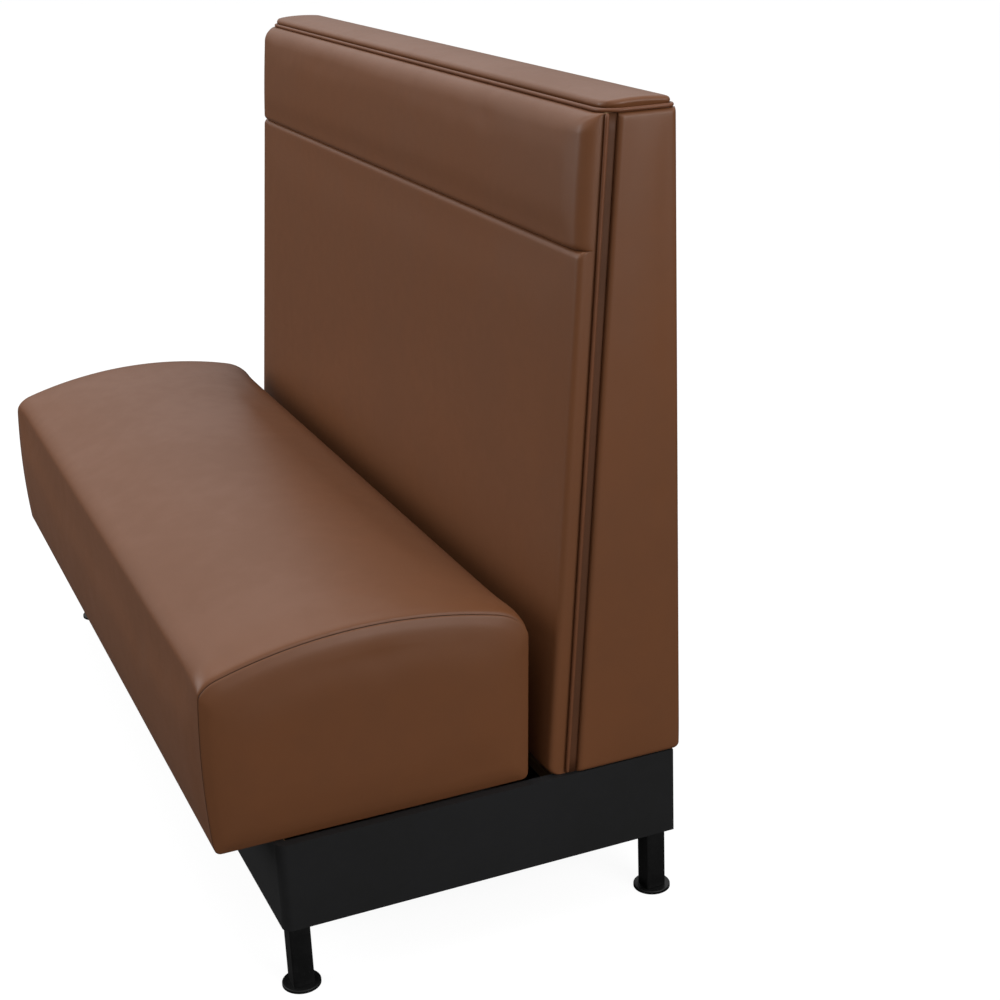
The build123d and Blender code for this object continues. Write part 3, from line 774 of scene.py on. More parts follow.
def linear(code: str) -> tuple[float, float, float, float]:
    """Linear colour of a six-digit screen colour.

    Args:
        code: The screen colour.

    Returns:
        Red, green, blue and full cover.
    """
    shares = [int(code[i : i + 2], 16) / 255 for i in (0, 2, 4)]
    values = [s / 12.92 if s <= 0.04045 else ((s + 0.055) / 1.055) ** 2.4 for s in shares]
    return (*values, 1.0)


@dataclass(frozen=True)
class Finish:
    """A surface finish, named as its maker would order it.

    Attributes:
        name: Name of its material.
        deep: Screen colour of its darker patches.
        light: Screen colour of its lighter patches.
        roughness: Lowest and highest roughness over the surface.
        patch: Size of its patches of tone.
        relief: Height of its bumps.
    """

    name: str
    deep: str
    light: str
    roughness: tuple[float, float]
    patch: float = 0.3
    relief: float = 0.1 * MM

    def material(self) -> bpy.types.Material:
        """The finish's material, made on first use.

        Returns:
            The material.
        """
        made = bpy.data.materials.get(self.name)
        if made:
            return made
        made = bpy.data.materials.new(self.name)
        made.use_nodes = True
        graph = Graph(made.node_tree)
        shader = graph.add("BsdfPrincipled")
        place = graph.add("TexCoord").outputs["Object"]
        self.draw(graph, shader, place)
        graph.add("OutputMaterial", {"Surface": shader.outputs[0]})
        return made

    def use(self, graph: Graph, group: bpy.types.NodeTree, values: dict[str, object]) -> bpy.types.Node:
        """Place a shared effect in this finish's material."""
        return graph.add("Group", values, node_tree=group)

    def tone(self, graph: Graph, place: bpy.types.NodeSocket) -> bpy.types.Node:
        """The drift of tone between this finish's two colours."""
        colours = {"Deep": linear(self.deep), "Light": linear(self.light)}
        return self.use(graph, tone_drift(), {"Place": place, "Patch Size": self.patch, **colours})

    def marks(
        self, graph: Graph, place: bpy.types.NodeSocket, width: float, amount: float
    ) -> bpy.types.NodeSocket:
        """Mask of the marks that handling leaves on this finish."""
        values = {"Place": place, "Width": width, "Amount": amount}
        return self.use(graph, handling_marks(), values).outputs["Mask"]

    def bump(
        self, graph: Graph, shader: bpy.types.Node, height: bpy.types.NodeSocket, strength: float
    ) -> None:
        """Let a height feed the shader's normal.

        Args:
            graph: The material's nodes.
            shader: Its Principled shader.
            height: Height from about 0 to 1, in shares of the finish's relief.
            strength: How much of the bump shows.
        """
        node = graph.add("Bump", {"Height": height, "Distance": self.relief, "Strength": strength})
        graph.feed(shader, "Normal", node.outputs[0])

    def draw(self, graph: Graph, shader: bpy.types.Node, place: bpy.types.NodeSocket) -> None:
        """Draw the nodes that make this finish.

        Args:
            graph: The material's nodes.
            shader: Its Principled shader.
            place: Place on the object, in metres.
        """
        raise NotImplementedError


@dataclass(frozen=True)
class CoatedCloth(Finish):
    """Vinyl-coated upholstery cloth, or the thin sheet that wraps the plinth.

    Attributes:
        cell: Size of a cell of its embossed grain.
        grain_strength: How much of the grain shows.
        gloss: The shader's specular level.
        hollow: Heights of the grain below and above which its hollows start and end.
        hollow_tone: How much painted shade darkens the hollows.
        mark_width: Width of a mark from handling.
        mark_amount: How many marks there are.
        mark_dullness: Roughness that a mark adds.
    """

    cell: float = 1.1 * MM
    grain_strength: float = 0.5
    gloss: float = 0.5
    hollow: Pair = (-0.3, 0.1)
    hollow_tone: float = 0.10
    mark_width: float = 4 * MM
    mark_amount: float = 0.2
    mark_dullness: float = 0.06

    def draw(self, graph: Graph, shader: bpy.types.Node, place: bpy.types.NodeSocket) -> None:
        """Embossed grain over a slow drift of tone, with a little painted shade darkening the hollows of the
        grain.

        Args:
            graph: The material's nodes.
            shader: Its Principled shader.
            place: Place on the object, in metres.
        """
        tone = self.tone(graph, place)
        grain = self.use(graph, hide_grain(), {"Place": place, "Cell Size": self.cell}).outputs["Height"]
        marks = self.marks(graph, place, self.mark_width, self.mark_amount)
        # Painted shade: the grain's hollows are drawn towards the deep colour.
        hollow = graph.ramp(grain, *self.hollow, 1.0, 0.0)
        darker = graph.mix(graph.times(hollow, self.hollow_tone), tone.outputs["Colour"], linear(self.deep))
        low, high = self.roughness
        spread = graph.ramp(tone.outputs["Share"], 0.0, 1.0, high, low)
        graph.feed(shader, "Base Color", darker)
        graph.feed(shader, "Roughness", graph.plus(spread, graph.times(marks, self.mark_dullness)))
        graph.feed(shader, "Specular IOR Level", self.gloss)
        self.bump(graph, shader, grain, self.grain_strength)


@dataclass(frozen=True)
class BakedCoat(Finish):
    """Baked black coating on steel, with a faint peel and rubs that show the steel's grey.

    Attributes:
        rub: Screen colour of a rub.
        rub_share: How much of it shows.
        gloss: The shader's specular level.
        mark_width: Width of a rub.
        mark_amount: How many rubs there are.
        peel_scale: Bumps of the peel in a metre.
        peel_detail: How fine the peel is.
        peel_strength: How much of the peel shows.
    """

    rub: str = "6a6a68"
    rub_share: float = 0.5
    gloss: float = 0.22
    mark_width: float = 1.2 * MM
    mark_amount: float = 0.25
    peel_scale: float = 900.0
    peel_detail: float = 2.0
    peel_strength: float = 0.35

    def draw(self, graph: Graph, shader: bpy.types.Node, place: bpy.types.NodeSocket) -> None:
        """Fine peel under a satin black, with a few rubs.

        Args:
            graph: The material's nodes.
            shader: Its Principled shader.
            place: Place on the object, in metres.
        """
        tone = self.tone(graph, place)
        marks = self.marks(graph, place, self.mark_width, self.mark_amount)
        worn = graph.mix(graph.times(marks, self.rub_share), tone.outputs["Colour"], linear(self.rub))
        graph.feed(shader, "Base Color", worn)
        graph.feed(shader, "Roughness", graph.ramp(tone.outputs["Share"], 0.0, 1.0, *self.roughness))
        graph.feed(shader, "Specular IOR Level", self.gloss)
        self.bump(graph, shader, graph.noise(place, self.peel_scale, self.peel_detail), self.peel_strength)


@dataclass(frozen=True)
class BareSteel(Finish):
    """Plated or oiled steel, brushed by its making.

    Attributes:
        line_shares: How far the drawing marks are drawn out along X, Y and Z.
        line_scale: Marks in a metre.
        line_detail: How fine they are.
        line_range: Values of the marks that give the lowest and the highest roughness.
        line_strength: How much of them shows.
    """

    line_shares: Triple = (1.0, 0.15, 1.0)
    line_scale: float = 1400.0
    line_detail: float = 2.0
    line_range: Pair = (0.3, 0.7)
    line_strength: float = 0.2

    def draw(self, graph: Graph, shader: bpy.types.Node, place: bpy.types.NodeSocket) -> None:
        """Metal with a drift of tone, and drawing marks along it.

        Args:
            graph: The material's nodes.
            shader: Its Principled shader.
            place: Place on the object, in metres.
        """
        tone = self.tone(graph, place)
        drawn = graph.noise(graph.stretched(place, self.line_shares), self.line_scale, self.line_detail)
        graph.feed(shader, "Base Color", tone.outputs["Colour"])
        graph.feed(shader, "Roughness", graph.ramp(drawn, *self.line_range, *self.roughness))
        graph.feed(shader, "Metallic", 1.0)
        self.bump(graph, shader, drawn, self.line_strength)


@dataclass(frozen=True)
class Timber(Finish):
    """Sawn or peeled wood.

    Attributes:
        grain: Axis that the grain runs along.
        ring: Width of a growth ring on the face.
        fibre_strength: How much of the fibres shows in relief.
        mark_width: Width of a mark from the workshop.
        mark_amount: How many marks there are.
        mark_share: How much a mark darkens the wood.
    """

    grain: Grain = Grain.ALONG_X
    ring: float = 6 * MM
    fibre_strength: float = 0.5
    mark_width: float = 5 * MM
    mark_amount: float = 0.6
    mark_share: float = 0.35

    def draw(self, graph: Graph, shader: bpy.types.Node, place: bpy.types.NodeSocket) -> None:
        """Rings and fibres, with slight dirt from the workshop.

        Args:
            graph: The material's nodes.
            shader: Its Principled shader.
            place: Place on the object, in metres.
        """
        turn = {"Vector": place, "Rotation": self.grain.value}
        turned = graph.add("VectorRotate", turn, rotation_type="EULER_XYZ").outputs[0]
        colours = {"Early": linear(self.light), "Late": linear(self.deep)}
        figure = self.use(graph, timber_figure(), {"Place": turned, "Ring Width": self.ring, **colours})
        marks = self.marks(graph, place, self.mark_width, self.mark_amount)
        soiled = graph.mix(graph.times(marks, self.mark_share), figure.outputs["Colour"], linear(self.deep))
        low, high = self.roughness
        graph.feed(shader, "Base Color", soiled)
        graph.feed(shader, "Roughness", graph.ramp(figure.outputs["Share"], 0.0, 1.0, high, low))
        self.bump(graph, shader, figure.outputs["Height"], self.fibre_strength)


@dataclass(frozen=True)
class Felted(Finish):
    """Felt or spun cloth of tangled fibres.

    Attributes:
        fibre: Size of a tuft.
        tuft_detail: How fine the tufts are.
        tuft_rough: How ragged they are.
        tuft_strength: How much of them shows in relief.
        fleck: Values of the tufts between which a fleck comes up.
        fleck_share: How much lighter a fleck is.
        sheen: The shader's sheen.
    """

    fibre: float = 1.5 * MM
    tuft_detail: float = 5.0
    tuft_rough: float = 0.75
    tuft_strength: float = 0.8
    fleck: Pair = (0.4, 0.62)
    fleck_share: float = 0.5
    sheen: float = 0.3

    def draw(self, graph: Graph, shader: bpy.types.Node, place: bpy.types.NodeSocket) -> None:
        """Tangled tufts and lighter flecks over a mottled tone.

        Args:
            graph: The material's nodes.
            shader: Its Principled shader.
            place: Place on the object, in metres.
        """
        tone = self.tone(graph, place)
        tufts = graph.noise(place, 1 / self.fibre, self.tuft_detail, self.tuft_rough)
        fleck = graph.ramp(tufts, *self.fleck)
        mixed = graph.mix(graph.times(fleck, self.fleck_share), tone.outputs["Colour"], linear(self.light))
        low, high = self.roughness
        graph.feed(shader, "Base Color", mixed)
        graph.feed(shader, "Roughness", graph.ramp(fleck, 0.0, 1.0, high, low))
        graph.feed(shader, "Sheen Weight", self.sheen)
        self.bump(graph, shader, tufts, self.tuft_strength)


VINYL = CoatedCloth(
    "brown_vinyl_cover",
    deep="613c24",
    light="663f26",
    roughness=(0.40, 0.46),
    patch=0.35,
    relief=0.16 * MM,
    cell=1.1 * MM,
    grain_strength=0.35,
    gloss=0.26,
)
# The same vinyl made darker for the back's boxing strips: painted shade that stands for the shadow in the
# recess between the welt and the end pad.
PAINTED_SHADE_VINYL = CoatedCloth(
    "brown_vinyl_in_the_channel",
    deep="4b2f1e",
    light="523321",
    roughness=(0.5, 0.56),
    patch=0.2,
    relief=0.1 * MM,
    cell=1.1 * MM,
    grain_strength=0.3,
    gloss=0.15,
)
CORD_VINYL = CoatedCloth(
    "brown_vinyl_cord",
    deep="5d3822",
    light="653d26",
    roughness=(0.42, 0.48),
    patch=0.1,
    relief=0.10 * MM,
    cell=0.9 * MM,
    grain_strength=0.3,
    gloss=0.25,
)
# A near-black cord laid in the seat's end seams: painted shade for the dark line that each seam's crease
# shows.
SEAM_SHADE_CORD = CoatedCloth(
    "dark_seam_thread",
    deep="1c0f09",
    light="24140c",
    roughness=(0.6, 0.7),
    patch=0.1,
    relief=0.05 * MM,
    cell=0.8 * MM,
    grain_strength=0.2,
    gloss=0.1,
)
WRAP = CoatedCloth(
    "black_plinth_wrap",
    deep="151515",
    light="1b1b1c",
    roughness=(0.55, 0.62),
    patch=0.4,
    relief=0.08 * MM,
    cell=0.7 * MM,
    grain_strength=0.3,
    gloss=0.2,
)
COAT = BakedCoat("black_baked_coat", "080808", "0e0e0e", (0.42, 0.50), patch=0.05, relief=0.05 * MM)
ZINC = BareSteel("zinc_plated_steel", "9a9c9f", "c3c4c6", (0.28, 0.42), patch=0.02, relief=0.02 * MM)
SPRING = BareSteel("oiled_spring_steel", "3c3a38", "565350", (0.32, 0.48), patch=0.03, relief=0.02 * MM)


def plywood(run: str, grain: Grain) -> Timber:
    """Plywood's finish, with the grain of its face along an axis.

    Args:
        run: How the grain runs, for the finish's name.
        grain: The axis.

    Returns:
        The finish.
    """
    colours = ("a98256", "cfac7d")
    roughness = (0.55, 0.7)
    return Timber(f"plywood_grain_{run}", *colours, roughness, relief=0.15 * MM, grain=grain, ring=16 * MM)


def softwood(run: str, grain: Grain) -> Timber:
    """Softwood's finish, with its grain along an axis.

    Args:
        run: How the grain runs, for the finish's name.
        grain: The axis.

    Returns:
        The finish.
    """
    colours = ("b88a55", "dfbe8c")
    roughness = (0.6, 0.75)
    return Timber(f"softwood_grain_{run}", *colours, roughness, relief=0.2 * MM, grain=grain, ring=7 * MM)


VENEER_X = plywood("along", Grain.ALONG_X)
VENEER_Z = plywood("upright", Grain.ALONG_Z)
SAWN_X = softwood("along", Grain.ALONG_X)
SAWN_Y = softwood("across", Grain.ALONG_Y)
SAWN_Z = softwood("upright", Grain.ALONG_Z)
HARDBOARD = Felted(
    "brown_hardboard", "5a4028", "6f5236", (0.5, 0.65), patch=0.2, relief=0.1 * MM, fibre=1 * MM
)
FELT = Felted(
    "grey_insulator_felt", "5c5852", "8d877e", (0.85, 0.95), patch=0.1, relief=0.6 * MM, fibre=2 * MM
)
SPUN = Felted(
    "black_spun_dust_cloth", "161617", "2a2a2b", (0.8, 0.9), patch=0.2, relief=0.15 * MM, fibre=1 * MM
)

NODE_FINISHES: dict[str, Finish] = {
    "back_bolts": ZINC,
    "back_bottom_rails": SAWN_X,
    "back_end_boards": VENEER_Z,
    "back_front_panel": VENEER_X,
    "back_middle_rails": SAWN_X,
    "back_rear_panel": HARDBOARD,
    "back_top_board": VENEER_X,
    "back_uprights": VENEER_Z,
    "back_washers": ZINC,
    "base_bearer": SAWN_X,
    "base_corner_blocks": SAWN_Z,
    "base_cross_rails": SAWN_Y,
    "base_dust_cover": SPUN,
    "base_end_boards": VENEER_X,
    "base_front_board": VENEER_X,
    "base_rear_board": VENEER_X,
    "base_wrap": WRAP,
    "leg_plate_screws": ZINC,
    "leg_plates": COAT,
    "leg_thread_inserts": ZINC,
    "seat_cleats": SAWN_X,
    "seat_corner_blocks": SAWN_Z,
    "seat_dust_cover": SPUN,
    "seat_end_boards": VENEER_X,
    "seat_front_rail": VENEER_X,
    "seat_insulator": FELT,
    "seat_rear_rail": VENEER_X,
    "seat_spring_clips": ZINC,
    "seat_springs": SPRING,
    "seat_stretchers": SAWN_Y,
}


def finish_node(name: str, finish: Finish) -> None:
    """Give a CAD node its finish.

    Args:
        name: The node's name.
        finish: Its finish.
    """
    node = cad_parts[name]
    node.data.materials.clear()
    node.data.materials.append(finish.material())


@dataclass(frozen=True)
class Piece:
    """How a drawn piece is finished and what it belongs to.

    Attributes:
        name: The piece's name.
        finish: Its finish.
        body: Body that it rides on.
        slot: Record slot that its finish belongs to; not used.
        replaces: CAD nodes that it stands for.
        sheet: Thickness of its cover where it is an open shell, or 0 for a closed form.
        smoothing: Levels of subdivision.
        fill: How tightly it is stuffed, or None where it isn't padded; not used.
    """

    name: str
    finish: Finish
    body: Body
    slot: Slot = Slot.VINYL
    replaces: tuple[str, ...] = ()
    sheet: float = 0.0
    smoothing: int = 1
    fill: float | None = None

    def make(self, draft: Draft, swelling: Swelling | None = None) -> bpy.types.Object:
        """Turn a draft into the finished piece, with its body and CAD nodes.

        Args:
            draft: Its shape.
            swelling: How its simulated copy swelled.

        Returns:
            The finished piece.
        """
        mesh = draft.mesh(self.name)
        if swelling:
            swelling.apply(mesh)
        mesh.attributes.remove(mesh.attributes["free"])
        mesh.materials.append(self.finish.material())
        made = bpy.data.objects.new(self.name, mesh)
        bpy.context.scene.collection.objects.link(made)
        if self.sheet:
            shell = made.modifiers.new("cover_thickness", "SOLIDIFY")
            shell.thickness = self.sheet
            shell.offset = -1
        if self.smoothing:
            smooth = made.modifiers.new("smooth", "SUBSURF")
            smooth.levels = smooth.render_levels = self.smoothing
        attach(made, self.body.value)
        if self.replaces:
            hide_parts(*self.replaces)
        LOG.info("made %s with %d faces", self.name, len(mesh.polygons))
        return made


# The seat


@dataclass
class Seat:
    """The loose seat's covers: one sheet over top and front, and two sewn end panels.

    Attributes:
        front_height: Height of the front's upper end above the plinth.
        rear_height: Height of the rear's upper end above the plinth.
        crown_height: Height of the crown above the plinth.
        crown_place: Distance of the crown behind the front.
        front_bulge: How far the front's middle stands out.
        front_corner: Depth and height of the roll from the front to the top.
        rear_corner: Depth and height of the roll from the top to the rear.
        rear_lean: How far the rear leans forward at its foot.
        toe_roll: Radius of the front's lower edge.
        foot_roll: Radius of the rear's lower edge.
        end_roll: Length over which the cover drops towards an end seam.
        end_edge: Width of the lit border of an end panel.
        end_crown: How far an end panel stands out from its seam.
        border_lip: Small upright lip beside the seam.
        border_bend: Length of the bend from the lip to the border, in lips.
        border_slope: Rise over run of the border.
        border_flat: Width of its even part.
        panel_insets: Further rings of an end panel, from its outline inwards.
        panel_shares: Rings round its middle, as shares of the innermost one.
        seam_depth: Depth of the fold at an end seam.
        seam_roll: Width of the fold on either side of it.
        seam_gap: Gap between the cover and the panel.
        fold_shares: Steps of the fold, from the seam outwards.
        thread: Radius of the near-black cord down in the seam's fold, painted shade that draws the seam's
            dark line.
        thread_depth: Its depth in the fold.
        hem: Width of the cover that is turned under.
        hem_steps: Rows of points across the hem.
        hem_spacing: Spacing of points along an end panel's hem.
        hem_ease: Share by which that hem's inner edge is shorter than its outer one.
        mitre_rest: Share of the hem's width that is left at its corners.
        cover: Thickness of the vinyl.
        crease_place: Place along the bench of the crease at the front and at the rear.
        crease_depth: Depth of the crease, and height of the ridge beside it.
        crease_width: Width of each.
        ridge_place: Place of the ridge beside the crease, in widths.
    """

    front_height: float = 0.237
    rear_height: float = 0.229
    crown_height: float = 0.295
    crown_place: float = 0.274
    front_bulge: float = 0.0045
    front_corner: Pair = (0.027, 0.025)
    rear_corner: Pair = (0.043, 0.041)
    rear_lean: float = 0.009
    toe_roll: float = 0.010
    foot_roll: float = 0.010
    end_roll: float = 0.040
    end_edge: float = 0.035
    end_crown: float = 0.0122
    border_lip: float = 0.0010
    border_bend: float = 2.5
    border_slope: float = 0.41
    border_flat: float = 0.010
    panel_insets: tuple[float, ...] = (0.045, 0.060, 0.080)
    panel_shares: tuple[float, ...] = (0.8, 0.6, 0.4, 0.2)
    seam_depth: float = 0.0036
    seam_roll: float = 0.0024
    seam_gap: float = 0.02 * MM
    fold_shares: tuple[float, ...] = (0.0, 0.06, 0.2, 0.42, 0.7)
    thread: float = 0.0010
    thread_depth: float = 0.0009
    hem: float = 0.025
    hem_steps: int = 3
    hem_spacing: float = 0.02
    hem_ease: float = 0.001
    mitre_rest: float = 0.02
    cover: float = 0.0012
    crease_place: Pair = (-0.240, -0.113)
    crease_depth: float = 0.0007
    crease_width: float = 0.009
    ridge_place: float = 1.6

    def __post_init__(self) -> None:
        """Read the seat's box from the frame."""
        low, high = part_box("seat_cover")
        end_high = high_corner("seat_end_cover_right")
        self.low = low.z
        self.front = depth_of(low.y)
        self.rear = depth_of(high.y)
        self.end_x = end_high.x
        self.seam_x = self.end_x - self.end_crown
        self.fullness = high.z - end_high.z
        self.base_top = high_corner("base_wrap").z

    def section(self, full: float, inset: float, closed: bool) -> np.ndarray:
        """Outline of the seat across its length.

        Args:
            full: Fullness, from 0 at an end seam to 1 past its rolled end.
            inset: How far the whole outline is drawn in.
            closed: Whether it closes along the bottom, or stops at the hem's edge.

        Returns:
            Places as depth and height, from the front of the bottom up and over to its rear.
        """
        rise = self.fullness * full - inset
        low = self.low + inset
        front = self.front - self.front_bulge - inset
        front_top = self.base_top + self.front_height + rise
        rear = self.rear + inset
        rear_top = self.base_top + self.rear_height + rise
        crown = (self.front - self.crown_place, self.base_top + self.crown_height + rise)
        crown_front = (front - self.front_corner[0], front_top + self.front_corner[1])
        crown_rear = (rear + self.rear_corner[0], rear_top + self.rear_corner[1])
        top = Bow(crown_front, crown, crown_rear)
        brow_corner = (front, crown_front[1] + top.slope(crown_front) * self.front_corner[0])
        hip_corner = (rear, crown_rear[1] - top.slope(crown_rear) * self.rear_corner[0])
        toe_low = (front - self.toe_roll, low)
        toe = (front, low + self.toe_roll)
        brow = (front, front_top)
        belly = (front + self.front_bulge, (toe[1] + brow[1]) / 2)
        hip = (rear, rear_top)
        heel = (rear + self.rear_lean, low + self.foot_roll)
        foot = (heel[0] + self.foot_roll, low)
        hem_front = (toe_low[0] - self.hem, low)
        hem_rear = (foot[0] + self.hem, low)
        stretches = [
            straight(hem_front, toe_low, self.hem_steps),
            bend(toe_low, (front, low), toe, 6),
            Bow(toe, belly, brow).points(16),
            bend(brow, brow_corner, crown_front, 10),
            top.points(40),
            bend(crown_rear, hip_corner, hip, 10),
            straight(hip, heel, 14),
            bend(heel, (heel[0], low), foot, 6),
            straight(foot, hem_rear, self.hem_steps),
        ]
        if closed:
            stretches += [straight(hem_rear, hem_front, 24)]
        else:
            stretches += [np.array([hem_rear])]
        return np.vstack(stretches)

    def fold(self) -> list[Pair]:
        """Steps of the edge that is turned in at an end seam.

        Returns:
            Distance from the seam and depth below the cover's face of each.
        """
        steps = []
        for share in self.fold_shares:
            depth = self.seam_depth * (1 - math.sqrt(1 - (1 - share) ** 2))
            steps.append((self.seam_roll * share, depth))
        return steps

    def stations(self) -> list[Triple]:
        """Places where the seat's section is drawn, from the left seam to the right one.

        Returns:
            Each one's X, with the section's fullness and inset there.
        """
        turns = np.linspace(0, RIGHT_ANGLE, 13)
        half = [(self.seam_x - self.end_roll * (1 - math.cos(t)), math.sin(t), 0.0) for t in turns]
        fold = []
        for away, inset in self.fold():
            fold.append((self.seam_x - away, math.sqrt(1 - (1 - away / self.end_roll) ** 2), inset))
        right = fold + [station for station in half if station[0] < self.seam_x - self.seam_roll]
        inner = self.seam_x - self.end_roll
        middle = [(x, 1.0, 0.0) for x in np.linspace(-inner, inner, 62)[1:-1]]
        left = [(-x, full, inset) for x, full, inset in right]
        return left + middle + right[::-1]

    def lay(self, x: float, section: np.ndarray) -> np.ndarray:
        """A section's places at a place along X."""
        return np.column_stack([np.full(len(section), x), BACK_Y - section[:, 0], section[:, 1]])

    def crease(self, grid: np.ndarray) -> np.ndarray:
        """Press a faint crease into the top, left of the middle, with a ridge beside it.

        Args:
            grid: The cover's points.

        Returns:
            The same points.
        """
        at_front, at_rear = self.crease_place
        depth = depth_of(grid[..., 1])
        along = (self.front - depth) / (self.front - self.rear)
        line_x = at_front + (at_rear - at_front) * along
        off = (grid[..., 0] - line_x) / self.crease_width
        top = smooth_step(grid[..., 2], self.base_top + self.front_height, self.base_top + self.crown_height)
        grid[..., 2] -= self.crease_depth * np.exp(-(off**2)) * top
        grid[..., 2] += self.crease_depth * np.exp(-((off - self.ridge_place) ** 2)) * top
        return grid

    def cover_draft(self) -> Draft:
        """The cover over front, top and rear, with its hem turned under.

        Returns:
            Its draft.
        """
        rows = [self.lay(x, self.section(full, inset, False)) for x, full, inset in self.stations()]
        grid = self.crease(np.array(rows))
        self.mitre(grid)
        free = smooth_step(self.seam_x - np.abs(grid[..., 0]), 0.0, 2 * self.end_roll)
        free = free * smooth_step(grid[..., 2], self.low, self.low + self.hem)
        draft = Draft()
        draft.add_grid(grid, free)
        return draft

    def mitre(self, grid: np.ndarray) -> None:
        """Cut the hem's corners back at 45 degrees, so that it doesn't lie on the panels' hems.

        Args:
            grid: The cover's points, which are moved in place.
        """
        rows = self.hem_steps
        room = self.seam_x - np.abs(grid[:, :1, 0])
        share = np.clip(room / self.hem, self.mitre_rest, 1.0)
        at_front = (grid[:, :rows], grid[:, rows : rows + 1])
        at_rear = (grid[:, -rows:], grid[:, -rows - 1 : -rows])
        for ends, fold in (at_front, at_rear):
            ends[...] = fold + (ends - fold) * share[..., None]

    def panel_rings(self) -> list[Pair]:
        """Rings of an end panel, from its seam inwards.

        Returns:
            Inset from the outline and distance out of the seam's plane of each.
        """
        rings = [(depth, away + self.seam_gap) for away, depth in self.fold()]
        lip = self.seam_roll + self.border_lip
        reach = self.border_bend * self.border_lip
        start = (reach, lip + reach * self.border_slope)
        stop = (self.border_flat, lip + self.border_flat * self.border_slope)
        brink = ((self.end_crown - lip) / self.border_slope, self.end_crown)
        stretches = [
            bend((0.0, self.seam_roll), (0.0, lip), start, 4),
            straight(start, stop, 5),
            bend(stop, brink, (self.end_edge, self.end_crown), 10),
        ]
        rings += [tuple(place) for place in np.vstack(stretches)]
        return rings + [(inset, self.end_crown) for inset in (self.end_edge, *self.panel_insets)]

    def panel_draft(self, side: Side) -> Draft:
        """A sewn end panel with its tilted border and full middle.

        Args:
            side: The end that it closes.

        Returns:
            Its draft.
        """
        rings = [
            self.lay(side.value * (self.seam_x + out), self.section(0.0, inset, True))
            for inset, out in self.panel_rings()
        ]
        free = [smooth_step(np.array(inset), 0.0, 2 * self.end_edge) for inset, _ in self.panel_rings()]
        centre = rings[-1].mean(0)
        rings += [centre + (rings[-1] - centre) * share for share in self.panel_shares]
        free += [np.array(1.0)] * len(self.panel_shares)
        draft = Draft()
        grid = np.array(rings)
        draft.add_grid(grid, np.repeat(np.array(free)[:, None], grid.shape[1], 1), wrap=True)
        draft.add_cap(rings[-1], 1.0)
        return draft

    def hem_draft(self, side: Side) -> Draft:
        """The strip of an end panel that is turned under and held to the frame's edge.

        Args:
            side: The panel's end.

        Returns:
            Its draft.
        """
        section = self.section(0.0, 0.0, False)
        front, rear = section[self.hem_steps, 0], section[-self.hem_steps - 1, 0]
        depths = graded(front - rear, self.hem, self.hem, self.hem_spacing, 4) + rear
        room = np.clip(np.minimum(depths - rear, front - depths) / self.hem, self.mitre_rest, 1.0)
        outer = np.column_stack(
            [np.full(len(depths), side.value * self.seam_x), BACK_Y - depths, np.full(len(depths), self.low)]
        )
        inner = outer.copy()
        inner[:, 0] -= side.value * self.hem * room
        middle = (rear + front) / 2
        inner[:, 1] = BACK_Y - middle - (depths - middle) * (1 - self.hem_ease)
        draft = Draft()
        draft.add_grid(np.array([outer, (outer + inner) / 2, inner]))
        return draft

    def thread_draft(self, side: Side) -> Draft:
        """A near-black cord down in the fold between cover and panel, painted shade that draws a sewn end
        seam's dark line.
        """
        section = self.section(0.0, self.thread_depth, False)[self.hem_steps : -self.hem_steps - 1]
        return tube(self.lay(side.value * self.seam_x, section), self.thread, 8, False)

    def body_draft(self) -> Draft:
        """The whole stuffed seat as one closed form, for the simulation.

        Returns:
            Its draft.
        """
        rows = [self.lay(x, self.section(full, 0.0, True)) for x, full, _ in self.stations()]
        draft = Draft()
        draft.add_grid(np.array(rows), wrap=True)
        for side, row in ((Side.LEFT, rows[0]), (Side.RIGHT, rows[-1])):
            edge = self.lay(side.value * self.end_x, self.section(0.0, self.end_edge / 2, True))
            draft.add_grid(np.array([row, edge]), wrap=True)
            draft.add_cap(edge)
        return draft

    def build(self) -> None:
        """Make the seat's covers, hems and seams."""
        stuffing = Stuffing(voxel=0.011, pressure=3.0, cap=0.004, spare=0.004)
        swelling = stuffing.run(self.body_draft(), lambda places: places[:, 2] < self.low + self.hem)
        cover = Piece(
            "seat_top_and_front_cover",
            VINYL,
            Body.SEAT,
            replaces=("seat_cover", "seat_foam", "seat_border_foams"),
            sheet=self.cover,
            fill=0.9,
        )
        cover.make(self.cover_draft(), swelling)
        for side in Side:
            nodes = [f"seat_end_cover_{side.word}"] + (["seat_end_foams"] if side is Side.RIGHT else [])
            panel = Piece(
                f"seat_end_panel_{side.word}",
                VINYL,
                Body.SEAT,
                replaces=tuple(nodes),
                fill=0.9,
            )
            panel.make(self.panel_draft(side), swelling)
            hem = Piece(f"seat_end_hem_{side.word}", VINYL, Body.SEAT, sheet=self.cover, smoothing=0)
            hem.make(self.hem_draft(side))
            # The seam's near-black cord is painted shade in the fold.
            thread = Piece(f"seat_seam_thread_{side.word}", SEAM_SHADE_CORD, Body.SEAT, smoothing=0)
            thread.make(self.thread_draft(side))


# The back


